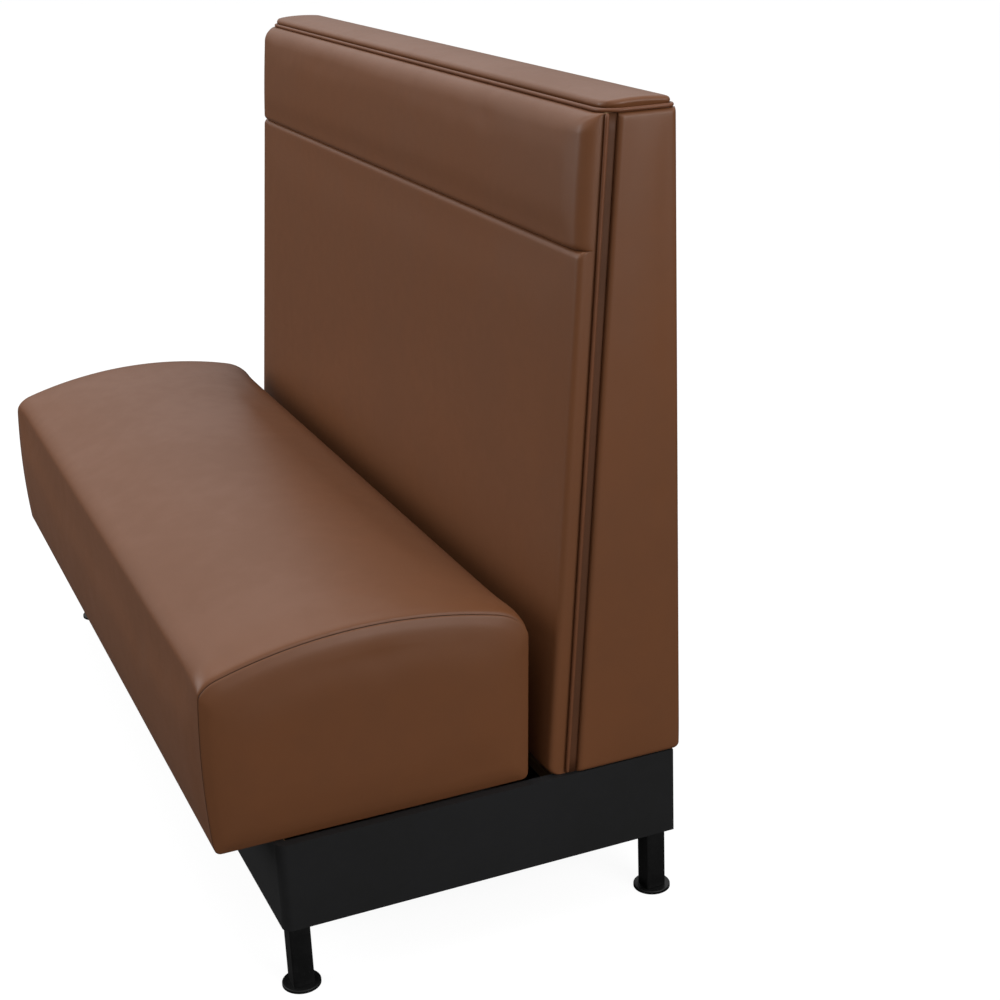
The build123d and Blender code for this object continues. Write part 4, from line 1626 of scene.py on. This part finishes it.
@dataclass
class PaddedBack:
    """The back: lower pad, headroll, boxing, welts, top cap, end pads and the flat outside cover.

    Attributes:
        lower_proud: How far the lower pad stands out from the panel.
        headroll_proud: How far the headroll does.
        headroll_bulge: Its further bulge half way up.
        edge_proud: How far both stand out at their ends.
        edge_corner: Radius of the lower pad's end corner.
        headroll_corner: Radius of the headroll's end corner.
        end_roll: Length over which a pad drops towards its ends.
        foot_roll: Radius of the lower pad's foot.
        seam_roll: Radius of both pads at the seam between them.
        top_roll: Length over which the headroll rolls back at its top.
        top_end_roll: The same at its ends.
        top_end_reach: Distance from an end over which the one becomes the other.
        top_proud: How far the headroll stands out at its very top.
        pad_walls: Rows of points from a pad's face back to the panel, as shares.
        cap_rounds: Radius in plan of the cap's front corners and of its rear ones.
        cap_tuck: How far the cap's bed is drawn in.
        cap_overhang: How far its edge stands out over the welt.
        cap_wall: Height of its edge's upright part.
        cap_edge: Radius of the roll above it.
        cap_end_drop: How much lower the cap is at its ends.
        cap_end_roll: Length over which it drops.
        cap_spacing: Spacing of its points from front to rear.
        cap_held: Distance from its edge below which a point hardly swells.
        cap_walls: Rows of points from its face down to its bed, as shares.
        end_pad_edge: Radius of an end pad's edges.
        end_pad_rest: Share of its thickness that is left at each edge.
        end_pad_corner: Radius of its lower rear corner.
        end_pad_held: Distance from its edge below which a point hardly swells.
        end_pad_bed: Thickness of its bed, which stays where it is.
        end_pad_spacings: Spacing of its points across and up, as shares of its size.
        end_pad_walls: Rows of points from its face down to its bed, as shares.
        boxing_bow: How far the boxing is drawn in at its middle.
        pleat_depth: Depth of the headroll's corner pleats.
        pleat_length: Their length.
        pleat_width: Their width as an angle at the corner.
        pleat_turns: The angle of each pleat at the corner.
        pleat_shares: The depth of each, as a share.
        welt_spacing: Spacing of points along the top welt's straights.
        outside_edge: Width of the outside cover's turned edge.
        outside_roll: Length over which its edge rounds off.
        outside_rest: Share of its thickness that is left at its edge.
        outside_spacing: Spacing of its points.
        outside_slack: Depth of the waves of its slack.
        slack_waves: Radians in a metre of the first wave along and up, and of the second one up.
        slack_start: Turn in radians at which the second wave begins.
        slack_reach: Distance from its edge over which the slack comes in.
        coarse: Spacing of points on the large pads.
    """

    lower_proud: float = 0.030
    headroll_proud: float = 0.0325
    headroll_bulge: float = 0.0010
    edge_proud: float = 0.025
    edge_corner: float = 0.007
    headroll_corner: float = 0.019
    end_roll: float = 0.055
    foot_roll: float = 0.014
    seam_roll: float = 0.010
    top_roll: float = 0.032
    top_end_roll: float = 0.025
    top_end_reach: float = 0.110
    top_proud: float = 0.008
    pad_walls: tuple[float, ...] = (0.0, 0.12, 0.5, 1.0)
    cap_rounds: Pair = (0.034, 0.014)
    cap_tuck: float = 0.003
    cap_overhang: float = 0.0015
    cap_wall: float = 0.008
    cap_edge: float = 0.0065
    cap_end_drop: float = 0.0015
    cap_end_roll: float = 0.020
    cap_spacing: float = 0.006
    cap_held: float = 0.03
    cap_walls: tuple[float, ...] = (0.0, 0.2, 0.55, 1.0)
    end_pad_edge: float = 0.008
    end_pad_rest: float = 0.35
    end_pad_corner: float = 0.012
    end_pad_held: float = 0.04
    end_pad_bed: float = 0.004
    end_pad_spacings: Pair = (0.07, 0.03)
    end_pad_walls: tuple[float, ...] = (0.0, 0.25, 1.0)
    boxing_bow: float = 0.0006
    pleat_depth: float = 0.0016
    pleat_length: float = 0.030
    pleat_width: float = 0.12
    pleat_turns: Pair = (0.45, 0.95)
    pleat_shares: Pair = (1.0, 0.7)
    welt_spacing: float = 0.03
    outside_edge: float = 0.006
    outside_roll: float = 0.004
    outside_rest: float = 0.3
    outside_spacing: float = 0.03
    outside_slack: float = 0.3 * MM
    slack_waves: Triple = (9.0, 2.0, 7.0)
    slack_start: float = 1.0
    slack_reach: float = 0.1
    coarse: float = 0.022

    def __post_init__(self) -> None:
        """Read the back's levels from the frame."""
        self.half = high_corner("lower_back_foam").x
        self.low = low_corner("lower_back_cover").z
        self.seam_z = high_corner("lower_back_cover").z
        self.high = high_corner("headroll_cover").z
        panel_low = low_corner("back_front_panel")
        self.base_top = panel_low.z
        self.cap_low = low_corner("top_cap_cover").z
        self.depth_low = depth_of(panel_low.y)
        self.depth_high = depth_of(low_corner("back_top_board").y)
        self.welt = (high_corner("top_welt").z - low_corner("top_welt").z) / 2
        self.cover = high_corner("lower_back_cover").x - self.half

    def panel_depth(self, z: np.ndarray | float) -> np.ndarray | float:
        """Depth of the sloping front panel at a height.

        Args:
            z: The height, or several.

        Returns:
            The depth at each.
        """
        share = (z - self.base_top) / (self.cap_low - self.base_top)
        return self.depth_low + (self.depth_high - self.depth_low) * share

    def raise_from_panel(self, x: np.ndarray, z: np.ndarray, proud: np.ndarray) -> np.ndarray:
        """Points that stand proud of the sloping panel.

        Args:
            x: Places along the bench, one per row.
            z: Heights, one per column.
            proud: How far each point stands forward.

        Returns:
            A grid of points.
        """
        grid_x, grid_z = np.meshgrid(x, z, indexing="ij")
        return np.stack([grid_x, BACK_Y - self.panel_depth(grid_z) - proud, grid_z], axis=-1)

    def pad_draft(self, x: np.ndarray, z: np.ndarray, proud: np.ndarray, held: float) -> Draft:
        """A closed pad that lies on the panel.

        Args:
            x: Places along the bench.
            z: Heights.
            proud: How far each point of its face stands forward.
            held: Distance from an edge below which a point hardly swells.

        Returns:
            The pad's draft.
        """
        face = self.raise_from_panel(x, z, proud)
        bed = self.raise_from_panel(x, z, np.zeros_like(proud))
        edge = np.minimum.outer(np.minimum(x - x[0], x[-1] - x), np.minimum(z - z[0], z[-1] - z))
        draft = Draft()
        draft.add_grid(face, smooth_step(edge, 0.0, held))
        draft.add_grid(bed)
        draft.add_walls(face, bed, self.pad_walls)
        return draft

    def end_share(self, x: np.ndarray, proud: float, corner_roll: float) -> np.ndarray:
        """Share of a pad's height near its ends: a soft rise, and a tight corner at the very end.

        Args:
            x: Places along the bench.
            proud: The pad's full height.
            corner_roll: Radius of its end corner.

        Returns:
            The share at each place.
        """
        distance = self.half - np.abs(x)
        corner = swell(distance, corner_roll, 1 - corner_roll / self.edge_proud)
        return corner * swell(distance, self.end_roll, self.edge_proud / proud)

    def lower_draft(self) -> Draft:
        """The plain lower pad, rolled at its ends, at its foot and at the seam.

        Returns:
            Its draft.
        """
        x = graded(2 * self.half, self.end_roll, self.end_roll, self.coarse, 13) - self.half
        z = graded(self.seam_z - self.low, self.foot_roll, self.seam_roll, self.coarse) + self.low
        ends = self.end_share(x, self.lower_proud, self.edge_corner)
        foot = swell(z - self.low, self.foot_roll, 1 - self.foot_roll / self.lower_proud)
        seam = swell(self.seam_z - z, self.seam_roll, 1 - self.seam_roll / self.lower_proud)
        proud = self.lower_proud * np.outer(ends, foot * seam)
        return self.pad_draft(x, z, proud, 2 * self.end_roll)

    def headroll_draft(self) -> Draft:
        """The fuller pad above the seam, which rolls back to the welt, tighter towards its ends.

        Returns:
            Its draft.
        """
        tall = self.high - self.seam_z
        x = graded(2 * self.half, self.end_roll, self.end_roll, self.coarse / 2, 13) - self.half
        z = graded(tall, self.seam_roll, self.top_roll, self.coarse / 2, 15) + self.seam_z
        seam = swell(z - self.seam_z, self.seam_roll, 1 - self.seam_roll / self.headroll_proud)
        share = smooth_step(self.half - np.abs(x), 0.0, self.top_end_reach)
        roll = self.top_end_roll + (self.top_roll - self.top_end_roll) * share
        top = swell((self.high - z)[None, :], roll[:, None], self.top_proud / self.headroll_proud)
        bulge = np.sin(np.clip((z - self.seam_z) / (tall - self.top_roll), 0, 1) * math.pi)
        rise = self.headroll_proud * seam[None, :] * top + self.headroll_bulge * bulge[None, :]
        ends = self.end_share(x, self.headroll_proud, self.headroll_corner)
        return self.pad_draft(x, z, ends[:, None] * rise - self.pleats(x, z), self.end_roll)

    def pleats(self, x: np.ndarray, z: np.ndarray) -> np.ndarray:
        """The small pleats that gather the headroll's cover into its top corners.

        Args:
            x: Places along the bench.
            z: Heights.

        Returns:
            Their depth at each point.
        """
        across = (self.half - np.abs(x))[:, None]
        below = (self.high - z)[None, :]
        reach = np.hypot(across, below)
        turn = np.arctan2(below, across)
        fade = smooth_step(reach, 0.0, self.pleat_length / 4)
        fade = fade * (1 - smooth_step(reach, self.pleat_length / 2, self.pleat_length))
        folds = [
            share * np.exp(-(((turn - place) / self.pleat_width) ** 2))
            for place, share in zip(self.pleat_turns, self.pleat_shares)
        ]
        return self.pleat_depth * fade * sum(folds)

    def boxing_draft(self, side: Side) -> Draft:
        """The strip that turns back from the pads along the panel's edge, drawn in a little.

        Args:
            side: The end that it is on.

        Returns:
            Its draft.
        """
        z = np.linspace(self.low, self.high, 40)
        reach = self.depth_low - depth_of(low_corner("end_cover_right").y)
        share = np.linspace(0, 1, 7)
        bow = self.cover - self.boxing_bow * np.sin(share * math.pi)
        grid_z, grid_share = np.meshgrid(z, share, indexing="ij")
        y = BACK_Y - self.panel_depth(grid_z) + reach * grid_share
        outer = np.stack([side.value * (self.half + np.broadcast_to(bow, grid_z.shape)), y, grid_z], axis=-1)
        inner = np.stack([np.full(grid_z.shape, side.value * self.half), y, grid_z], axis=-1)
        draft = Draft()
        draft.add_grid(outer)
        draft.add_grid(inner)
        draft.add_walls(outer, inner, (0.0, 1.0))
        return draft

    def side_welt_draft(self, side: Side) -> Draft:
        """The welt cord down the front edge of one end.

        Args:
            side: The end.

        Returns:
            Its draft.
        """
        z = np.linspace(self.low + self.welt, self.high, 90)
        x = np.full_like(z, side.value * (self.half + self.cover + self.welt))
        return tube(np.column_stack([x, BACK_Y - self.panel_depth(z), z]), self.welt, CORD_SIDES, False)

    def top_welt_draft(self) -> Draft:
        """The welt cord round the cap's lower edge.

        Returns:
            Its draft.
        """
        low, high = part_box("top_welt")
        x, front, rear = high.x - self.welt, low.y + self.welt, high.y - self.welt
        corners = [np.array(place) for place in ((x, front), (x, rear), (-x, rear), (-x, front))]
        at_front, at_rear = (size - self.welt for size in self.cap_rounds)
        rounds = [at_front, at_rear, at_rear, at_front]
        route: list[np.ndarray] = []
        for index, here in enumerate(corners):
            following = (index + 1) % len(corners)
            before, after = corners[index - 1], corners[following]
            way_in = (here - before) / np.linalg.norm(here - before)
            way_out = (after - here) / np.linalg.norm(after - here)
            end = here + way_out * rounds[index]
            stop = after - way_out * rounds[following]
            count = max(2, round(np.linalg.norm(stop - end) / self.welt_spacing))
            route.append(bend(here - way_in * rounds[index], here, end, CORD_SIDES))
            route.append(straight(end, stop, count))
        flat = np.vstack(route)
        level = np.full(len(flat), (low.z + high.z) / 2)
        return tube(np.column_stack([flat, level]), self.welt, CORD_SIDES, True)

    def cap_plan(self, x: np.ndarray, y: np.ndarray) -> tuple[np.ndarray, np.ndarray]:
        """Plan of the cap, with each corner's square of points drawn into a quarter disc.

        Args:
            x: Places along the bench, one per row.
            y: Places from the front to the rear, one per column.

        Returns:
            The X and the Y of each point.
        """
        grid_x, grid_y = np.meshgrid(x, y, indexing="ij")
        inset = high_corner("top_welt").x - x[-1]
        at_front, at_rear = (size - inset for size in self.cap_rounds)
        corner = np.where(grid_y < y.mean(), at_front, at_rear)
        past_x = np.clip((np.abs(grid_x) - x[-1]) / corner + 1, 0, 1)
        past_y = np.clip((np.abs(grid_y - y.mean()) - (y[-1] - y.mean())) / corner + 1, 0, 1)
        pull_x = corner * past_x * (1 - np.sqrt(1 - past_y**2 / 2))
        pull_y = corner * past_y * (1 - np.sqrt(1 - past_x**2 / 2))
        return grid_x - np.sign(grid_x) * pull_x, grid_y - np.sign(grid_y - y.mean()) * pull_y

    def cap_draft(self) -> Draft:
        """The thin crowned pad on top, with rounded corners in plan.

        Returns:
            Its draft.
        """
        low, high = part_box("top_cap_cover")
        x = graded(high.x - low.x, self.cap_end_roll, self.cap_end_roll, self.coarse, 14) + low.x
        y = graded(high.y - low.y, 2 * self.cap_edge, 2 * self.cap_edge, self.cap_spacing, 9) + low.y
        edge = np.minimum.outer(np.minimum(x - x[0], x[-1] - x), np.minimum(y - y[0], y[-1] - y))
        across = 1 - ((y - y.mean()) / (y[-1] - y.mean())) ** 2
        along = 1 - self.cap_end_drop / (high.z - low.z)
        along = swell(np.minimum(x - x[0], x[-1] - x), self.cap_end_roll, along)
        crown = (high.z - low.z - self.cap_wall - self.cap_edge) * across
        height = self.cap_wall + along[:, None] * (self.cap_edge * swell(edge, self.cap_edge, 0.0) + crown)
        grid_x, grid_y = self.cap_plan(x, y)
        middle_y = y.mean()
        out_x = 1 + self.cap_overhang / x[-1]
        out_y = 1 + self.cap_overhang / (y[-1] - middle_y)
        in_x = 1 - self.cap_tuck / x[-1]
        in_y = 1 - self.cap_tuck / (y[-1] - middle_y)
        top = np.stack([grid_x * out_x, middle_y + (grid_y - middle_y) * out_y, low.z + height], axis=-1)
        flat = np.full_like(grid_x, low.z)
        bed = np.stack([grid_x * in_x, middle_y + (grid_y - middle_y) * in_y, flat], axis=-1)
        draft = Draft()
        draft.add_grid(top, smooth_step(edge, 0.0, self.cap_held))
        draft.add_grid(bed)
        draft.add_walls(top, bed, self.cap_walls)
        return draft

    def end_pad_draft(self, side: Side) -> Draft:
        """The tapered pad on one end of the back, rounded at its edges and at its lower rear corner.

        Args:
            side: The end.

        Returns:
            Its draft.
        """
        low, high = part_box(f"end_cover_{side.word}")
        thick = high.x - low.x
        across, up = self.end_pad_spacings
        setback = self.panel_depth(low.z) - depth_of(low.y)
        v = graded(1.0, self.end_pad_edge, self.end_pad_edge, up, 7)
        edge_share = self.end_pad_edge / (self.panel_depth(high.z) - setback)
        u = graded(1.0, edge_share, edge_share, across, 8)
        grid_u, grid_v = np.meshgrid(u, v, indexing="ij")
        z = low.z + (high.z - low.z) * grid_v
        width = self.panel_depth(z) - setback
        y = BACK_Y - width * grid_u
        to_rear, to_front = width * grid_u, width * (1 - grid_u)
        to_foot, to_head = z - low.z, high.z - z
        share = 1.0
        for distance in (to_rear, to_front, to_foot, to_head):
            share = share * swell(distance, self.end_pad_edge, self.end_pad_rest)
        past_rear = np.clip(1 - to_rear / self.end_pad_corner, 0, 1)
        past_foot = np.clip(1 - to_foot / self.end_pad_corner, 0, 1)
        y = y - self.end_pad_corner * past_rear * (1 - np.sqrt(1 - past_foot**2 / 2))
        z = z + self.end_pad_corner * past_foot * (1 - np.sqrt(1 - past_rear**2 / 2))
        inner = side.value * self.half
        face = np.stack([inner + side.value * thick * share, y, z], axis=-1)
        bed = np.stack([np.full_like(y, inner), y, z], axis=-1)
        nearest = np.minimum(np.minimum(to_rear, to_front), np.minimum(to_foot, to_head))
        draft = Draft()
        draft.add_grid(face, smooth_step(nearest, 0.0, self.end_pad_held))
        draft.add_grid(bed)
        draft.add_walls(face, bed, self.end_pad_walls)
        return draft

    def outside_draft(self) -> Draft:
        """The flat cover over the back's outside, with its edges turned in.

        Returns:
            Its draft.
        """
        low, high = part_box("outside_back_cover")
        x = graded(high.x - low.x, self.outside_edge, self.outside_edge, self.outside_spacing, 4) + low.x
        z = graded(high.z - low.z, self.outside_edge, self.outside_edge, self.outside_spacing, 4) + low.z
        edge = np.minimum.outer(np.minimum(x - x[0], x[-1] - x), np.minimum(z - z[0], z[-1] - z))
        grid_x, grid_z = np.meshgrid(x, z, indexing="ij")
        along, aslant, upwards = self.slack_waves
        waves = np.sin(grid_x * along + grid_z * aslant) * np.sin(grid_z * upwards + self.slack_start)
        slack = self.outside_slack * (waves * smooth_step(edge, 0.0, self.slack_reach) - 1)
        y = low.y + (high.y - low.y) * swell(edge, self.outside_roll, self.outside_rest) + slack
        outer = np.stack([grid_x, y, grid_z], axis=-1)
        inner = np.stack([grid_x, np.full_like(y, low.y), grid_z], axis=-1)
        draft = Draft()
        draft.add_grid(outer)
        draft.add_grid(inner)
        draft.add_walls(outer, inner, (0.0, 1.0))
        return draft

    def near_panel(self, places: np.ndarray) -> np.ndarray:
        """Which points of a pad lie on the panel."""
        return depth_of(places[:, 1]) - self.panel_depth(places[:, 2]) < self.edge_proud / 2

    def build(self) -> None:
        """Make the back's pads, covers and welts."""
        firm = Stuffing(voxel=0.009, pressure=2.5, cap=0.003, spare=0.003)
        for name, draft, nodes in (
            ("lower_back_pad", self.lower_draft(), ("lower_back_cover", "lower_back_foam")),
            ("headroll_pad", self.headroll_draft(), ("headroll_cover", "headroll_foam")),
        ):
            swelling = firm.run(draft, self.near_panel)
            Piece(name, VINYL, Body.FRAME, replaces=nodes, fill=0.85).make(draft, swelling)
        cap = self.cap_draft()
        swelling = firm.run(cap, lambda places: places[:, 2] < self.cap_low + self.cap_wall)
        cap_nodes = ("top_cap_cover", "top_cap_foam")
        Piece("top_cap_pad", VINYL, Body.FRAME, replaces=cap_nodes, fill=0.7).make(cap, swelling)
        Piece("top_cap_welt", CORD_VINYL, Body.FRAME, replaces=("top_welt",)).make(self.top_welt_draft())
        for side in Side:
            first = side is Side.LEFT
            welts = ("side_welts",) if first else ()
            welt = Piece(f"side_welt_{side.word}", CORD_VINYL, Body.FRAME, replaces=welts)
            welt.make(self.side_welt_draft(side))
            # The boxing strip takes the darker vinyl, so its recess carries painted shade.
            boxing = Piece(f"back_boxing_{side.word}", PAINTED_SHADE_VINYL, Body.FRAME, smoothing=0)
            boxing.make(self.boxing_draft(side))
            nodes = (f"end_cover_{side.word}",) + (("end_foams",) if first else ())
            draft = self.end_pad_draft(side)
            swelling = firm.run(draft, lambda places: np.abs(places[:, 0]) < self.half + self.end_pad_bed)
            pad = Piece(f"back_end_pad_{side.word}", VINYL, Body.FRAME, replaces=nodes, fill=0.6)
            pad.make(draft, swelling)
        covers = ("outside_back_cover",)
        outside = Piece("outside_back_sheet", VINYL, Body.FRAME, replaces=covers, smoothing=0)
        outside.make(self.outside_draft())


# Timber, steel and cloth that the CAD model gives


@dataclass(frozen=True)
class Carcass:
    """The plinth, legs, feet and inner frames, which keep their CAD shapes."""

    finishes: dict[str, Finish]

    def build(self) -> None:
        """Give every carried-over node its finish."""
        for name, finish in self.finishes.items():
            finish_node(name, finish)
            LOG.info("finished %s as %s", name, finish.name)
        for end in ("front", "rear"):
            for side in Side:
                finish_node(f"leg_{end}_{side.word}", COAT)
                finish_node(f"foot_disc_{end}_{side.word}", COAT)
                finish_node(f"foot_stem_{end}_{side.word}", ZINC)
                LOG.info("finished the %s %s leg and foot", end, side.word)


# Studio


@dataclass(frozen=True)
class SoftBox:
    """A square soft lamp that faces a place on the bench.

    Attributes:
        name: The lamp's name.
        place: Where it hangs.
        aim: What it faces.
        size: Length of its sides.
        power: Its power in watts.
    """

    name: str
    place: Triple
    aim: Triple
    size: float
    power: float

    def hang(self) -> None:
        """Add the lamp to the scene, turned to what it faces."""
        data = bpy.data.lights.new(self.name, "AREA")
        data.shape = "SQUARE"
        data.size = self.size
        data.energy = self.power
        lamp = bpy.data.objects.new(self.name, data)
        lamp.location = self.place
        way = Vector(self.aim) - Vector(self.place)
        lamp.rotation_mode = "QUATERNION"
        lamp.rotation_quaternion = way.to_track_quat("-Z", "Y")
        bpy.context.scene.collection.objects.link(lamp)


@dataclass(frozen=True)
class Studio:
    """Pale floor, soft light and the photograph's camera.

    Attributes:
        eye: The camera's place.
        yaw: Turn of its view from +Y towards -X, in degrees.
        pitch: How far it looks down, in degrees.
        roll: How far its right side is raised, in degrees.
        lens: Focal length in millimetres.
        sensor: Width of the camera's sensor in millimetres.
        reach: How far the camera sees.
        floor_size: Length of the floor's sides.
        floor_lift: The floor's lift to white where it is seen, and where gloss shows it.
        fill: Strength of the light from all round.
        paper: The floor's colour where the camera sees it, under the lift to white.
        bounce: Its colour for the light that it sends back and for gloss.
        horizon: Rise of a mirrored ray between which the background changes from dim to white.
        mirrored: Strength of the background that gloss shows, near the horizon and well above it.
        lamps: The soft lamps.
    """

    eye: Triple = (2.8978, -0.8021, 1.5503)
    yaw: float = 67.501
    pitch: float = 20.338
    roll: float = -2.397
    lens: float = 64.63
    sensor: float = 36.0
    reach: float = 100.0
    floor_size: float = 80.0
    floor_lift: Pair = (0.92, 0.02)
    fill: float = 0.66
    paper: Triple = (0.13, 0.13, 0.13)
    bounce: Triple = (0.06, 0.06, 0.06)
    horizon: Pair = (0.05, 0.44)
    mirrored: Pair = (0.1, 1.25)
    lamps: tuple[SoftBox, ...] = (
        SoftBox("overhead_softbox", (-0.6, -0.3, 5.0), (0.0, 0.0, 0.4), 4.0, 104.0),
        SoftBox("left_front_softbox", (-1.7, -3.7, 2.3), (0.0, 0.0, 0.7), 2.4, 90.0),
        SoftBox("right_softbox", (3.9, 1.3, 1.9), (0.7, 0.0, 0.6), 2.0, 82.0),
    )

    def camera(self) -> None:
        """Set up the camera that the photograph was taken with."""
        yaw, pitch, roll = (math.radians(turn) for turn in (self.yaw, self.pitch, self.roll))
        level_share = math.cos(pitch)
        ahead = Vector((-math.sin(yaw) * level_share, math.cos(yaw) * level_share, -math.sin(pitch)))
        level = Vector((math.cos(yaw), math.sin(yaw), 0.0))
        above = level.cross(ahead)
        right = level * math.cos(roll) + above * math.sin(roll)
        up = above * math.cos(roll) - level * math.sin(roll)
        data = bpy.data.cameras.new("photo_camera")
        data.lens = self.lens
        data.sensor_width = self.sensor
        data.clip_end = self.reach
        camera = bpy.data.objects.new("photo_camera", data)
        turn = Matrix((right, up, -ahead)).transposed().to_4x4()
        camera.matrix_world = Matrix.Translation(self.eye) @ turn
        bpy.context.scene.collection.objects.link(camera)
        bpy.context.scene.camera = camera

    def backdrop_rays(self, graph: Graph) -> tuple[bpy.types.NodeSocket, bpy.types.NodeSocket]:
        """Tell apart the rays that show the background.

        Args:
            graph: The nodes to add to.

        Returns:
            Whether a ray is seen by the camera or through clear material, and whether gloss sends it.
        """
        path = graph.add("LightPath")
        seen = graph.math("MAXIMUM", path.outputs["Is Camera Ray"], path.outputs["Is Transmission Ray"])
        return seen, path.outputs["Is Glossy Ray"]

    def floor(self) -> None:
        """A plain pale floor that keeps the bench's shadow, lifted to white where it is seen."""
        mesh = bpy.data.meshes.new("studio_floor")
        half = self.floor_size / 2
        corners = [(-half, -half, 0.0), (half, -half, 0.0), (half, half, 0.0), (-half, half, 0.0)]
        mesh.from_pydata(corners, [], [(0, 1, 2, 3)])
        made = bpy.data.objects.new("studio_floor", mesh)
        material = bpy.data.materials.new("pale_floor")
        material.use_nodes = True
        graph = Graph(material.node_tree)
        camera_ray = graph.add("LightPath").outputs["Is Camera Ray"]
        shown = graph.mix(camera_ray, (*self.bounce, 1.0), (*self.paper, 1.0))
        paper = graph.add("BsdfDiffuse", {"Color": shown})
        seen, glossy = self.backdrop_rays(graph)
        lift_seen, lift_glossy = self.floor_lift
        strength = graph.math("MAXIMUM", graph.times(seen, lift_seen), graph.times(glossy, lift_glossy))
        lift = graph.add("Emission", {"Color": (1.0, 1.0, 1.0, 1.0), "Strength": strength})
        both = graph.add("AddShader", {0: paper.outputs[0], 1: lift.outputs[0]})
        graph.add("OutputMaterial", {"Surface": both.outputs[0]})
        mesh.materials.append(material)
        bpy.context.scene.collection.objects.link(made)

    def sky(self) -> None:
        """Even light from all round, white where it is seen, and graded up from the horizon in gloss."""
        world = bpy.data.worlds.new("studio_world")
        world.use_nodes = True
        graph = Graph(world.node_tree)
        seen, glossy = self.backdrop_rays(graph)
        way = graph.add("SeparateXYZ", {0: graph.add("TexCoord").outputs["Generated"]})
        mirrored = graph.ramp(way.outputs["Z"], *self.horizon, *self.mirrored)
        even = graph.times(graph.math("SUBTRACT", 1.0, glossy), self.fill)
        strength = graph.math("MAXIMUM", seen, graph.plus(even, graph.times(mirrored, glossy)))
        light = graph.add("Background", {"Color": (1.0, 1.0, 1.0, 1.0), "Strength": strength})
        graph.add("OutputWorld", {"Surface": light.outputs[0]})
        bpy.context.scene.world = world

    def build(self) -> None:
        """Set up the whole studio."""
        self.sky()
        self.floor()
        for lamp in self.lamps:
            lamp.hang()
        self.camera()
        bpy.context.scene.view_settings.view_transform = "Standard"


def main() -> None:
    """Build every class in order."""
    logging.basicConfig(level=logging.INFO, format="%(name)s: %(message)s")
    Studio().build()
    Carcass(NODE_FINISHES).build()
    Seat().build()
    PaddedBack().build()


if __name__ == "__main__":
    main()
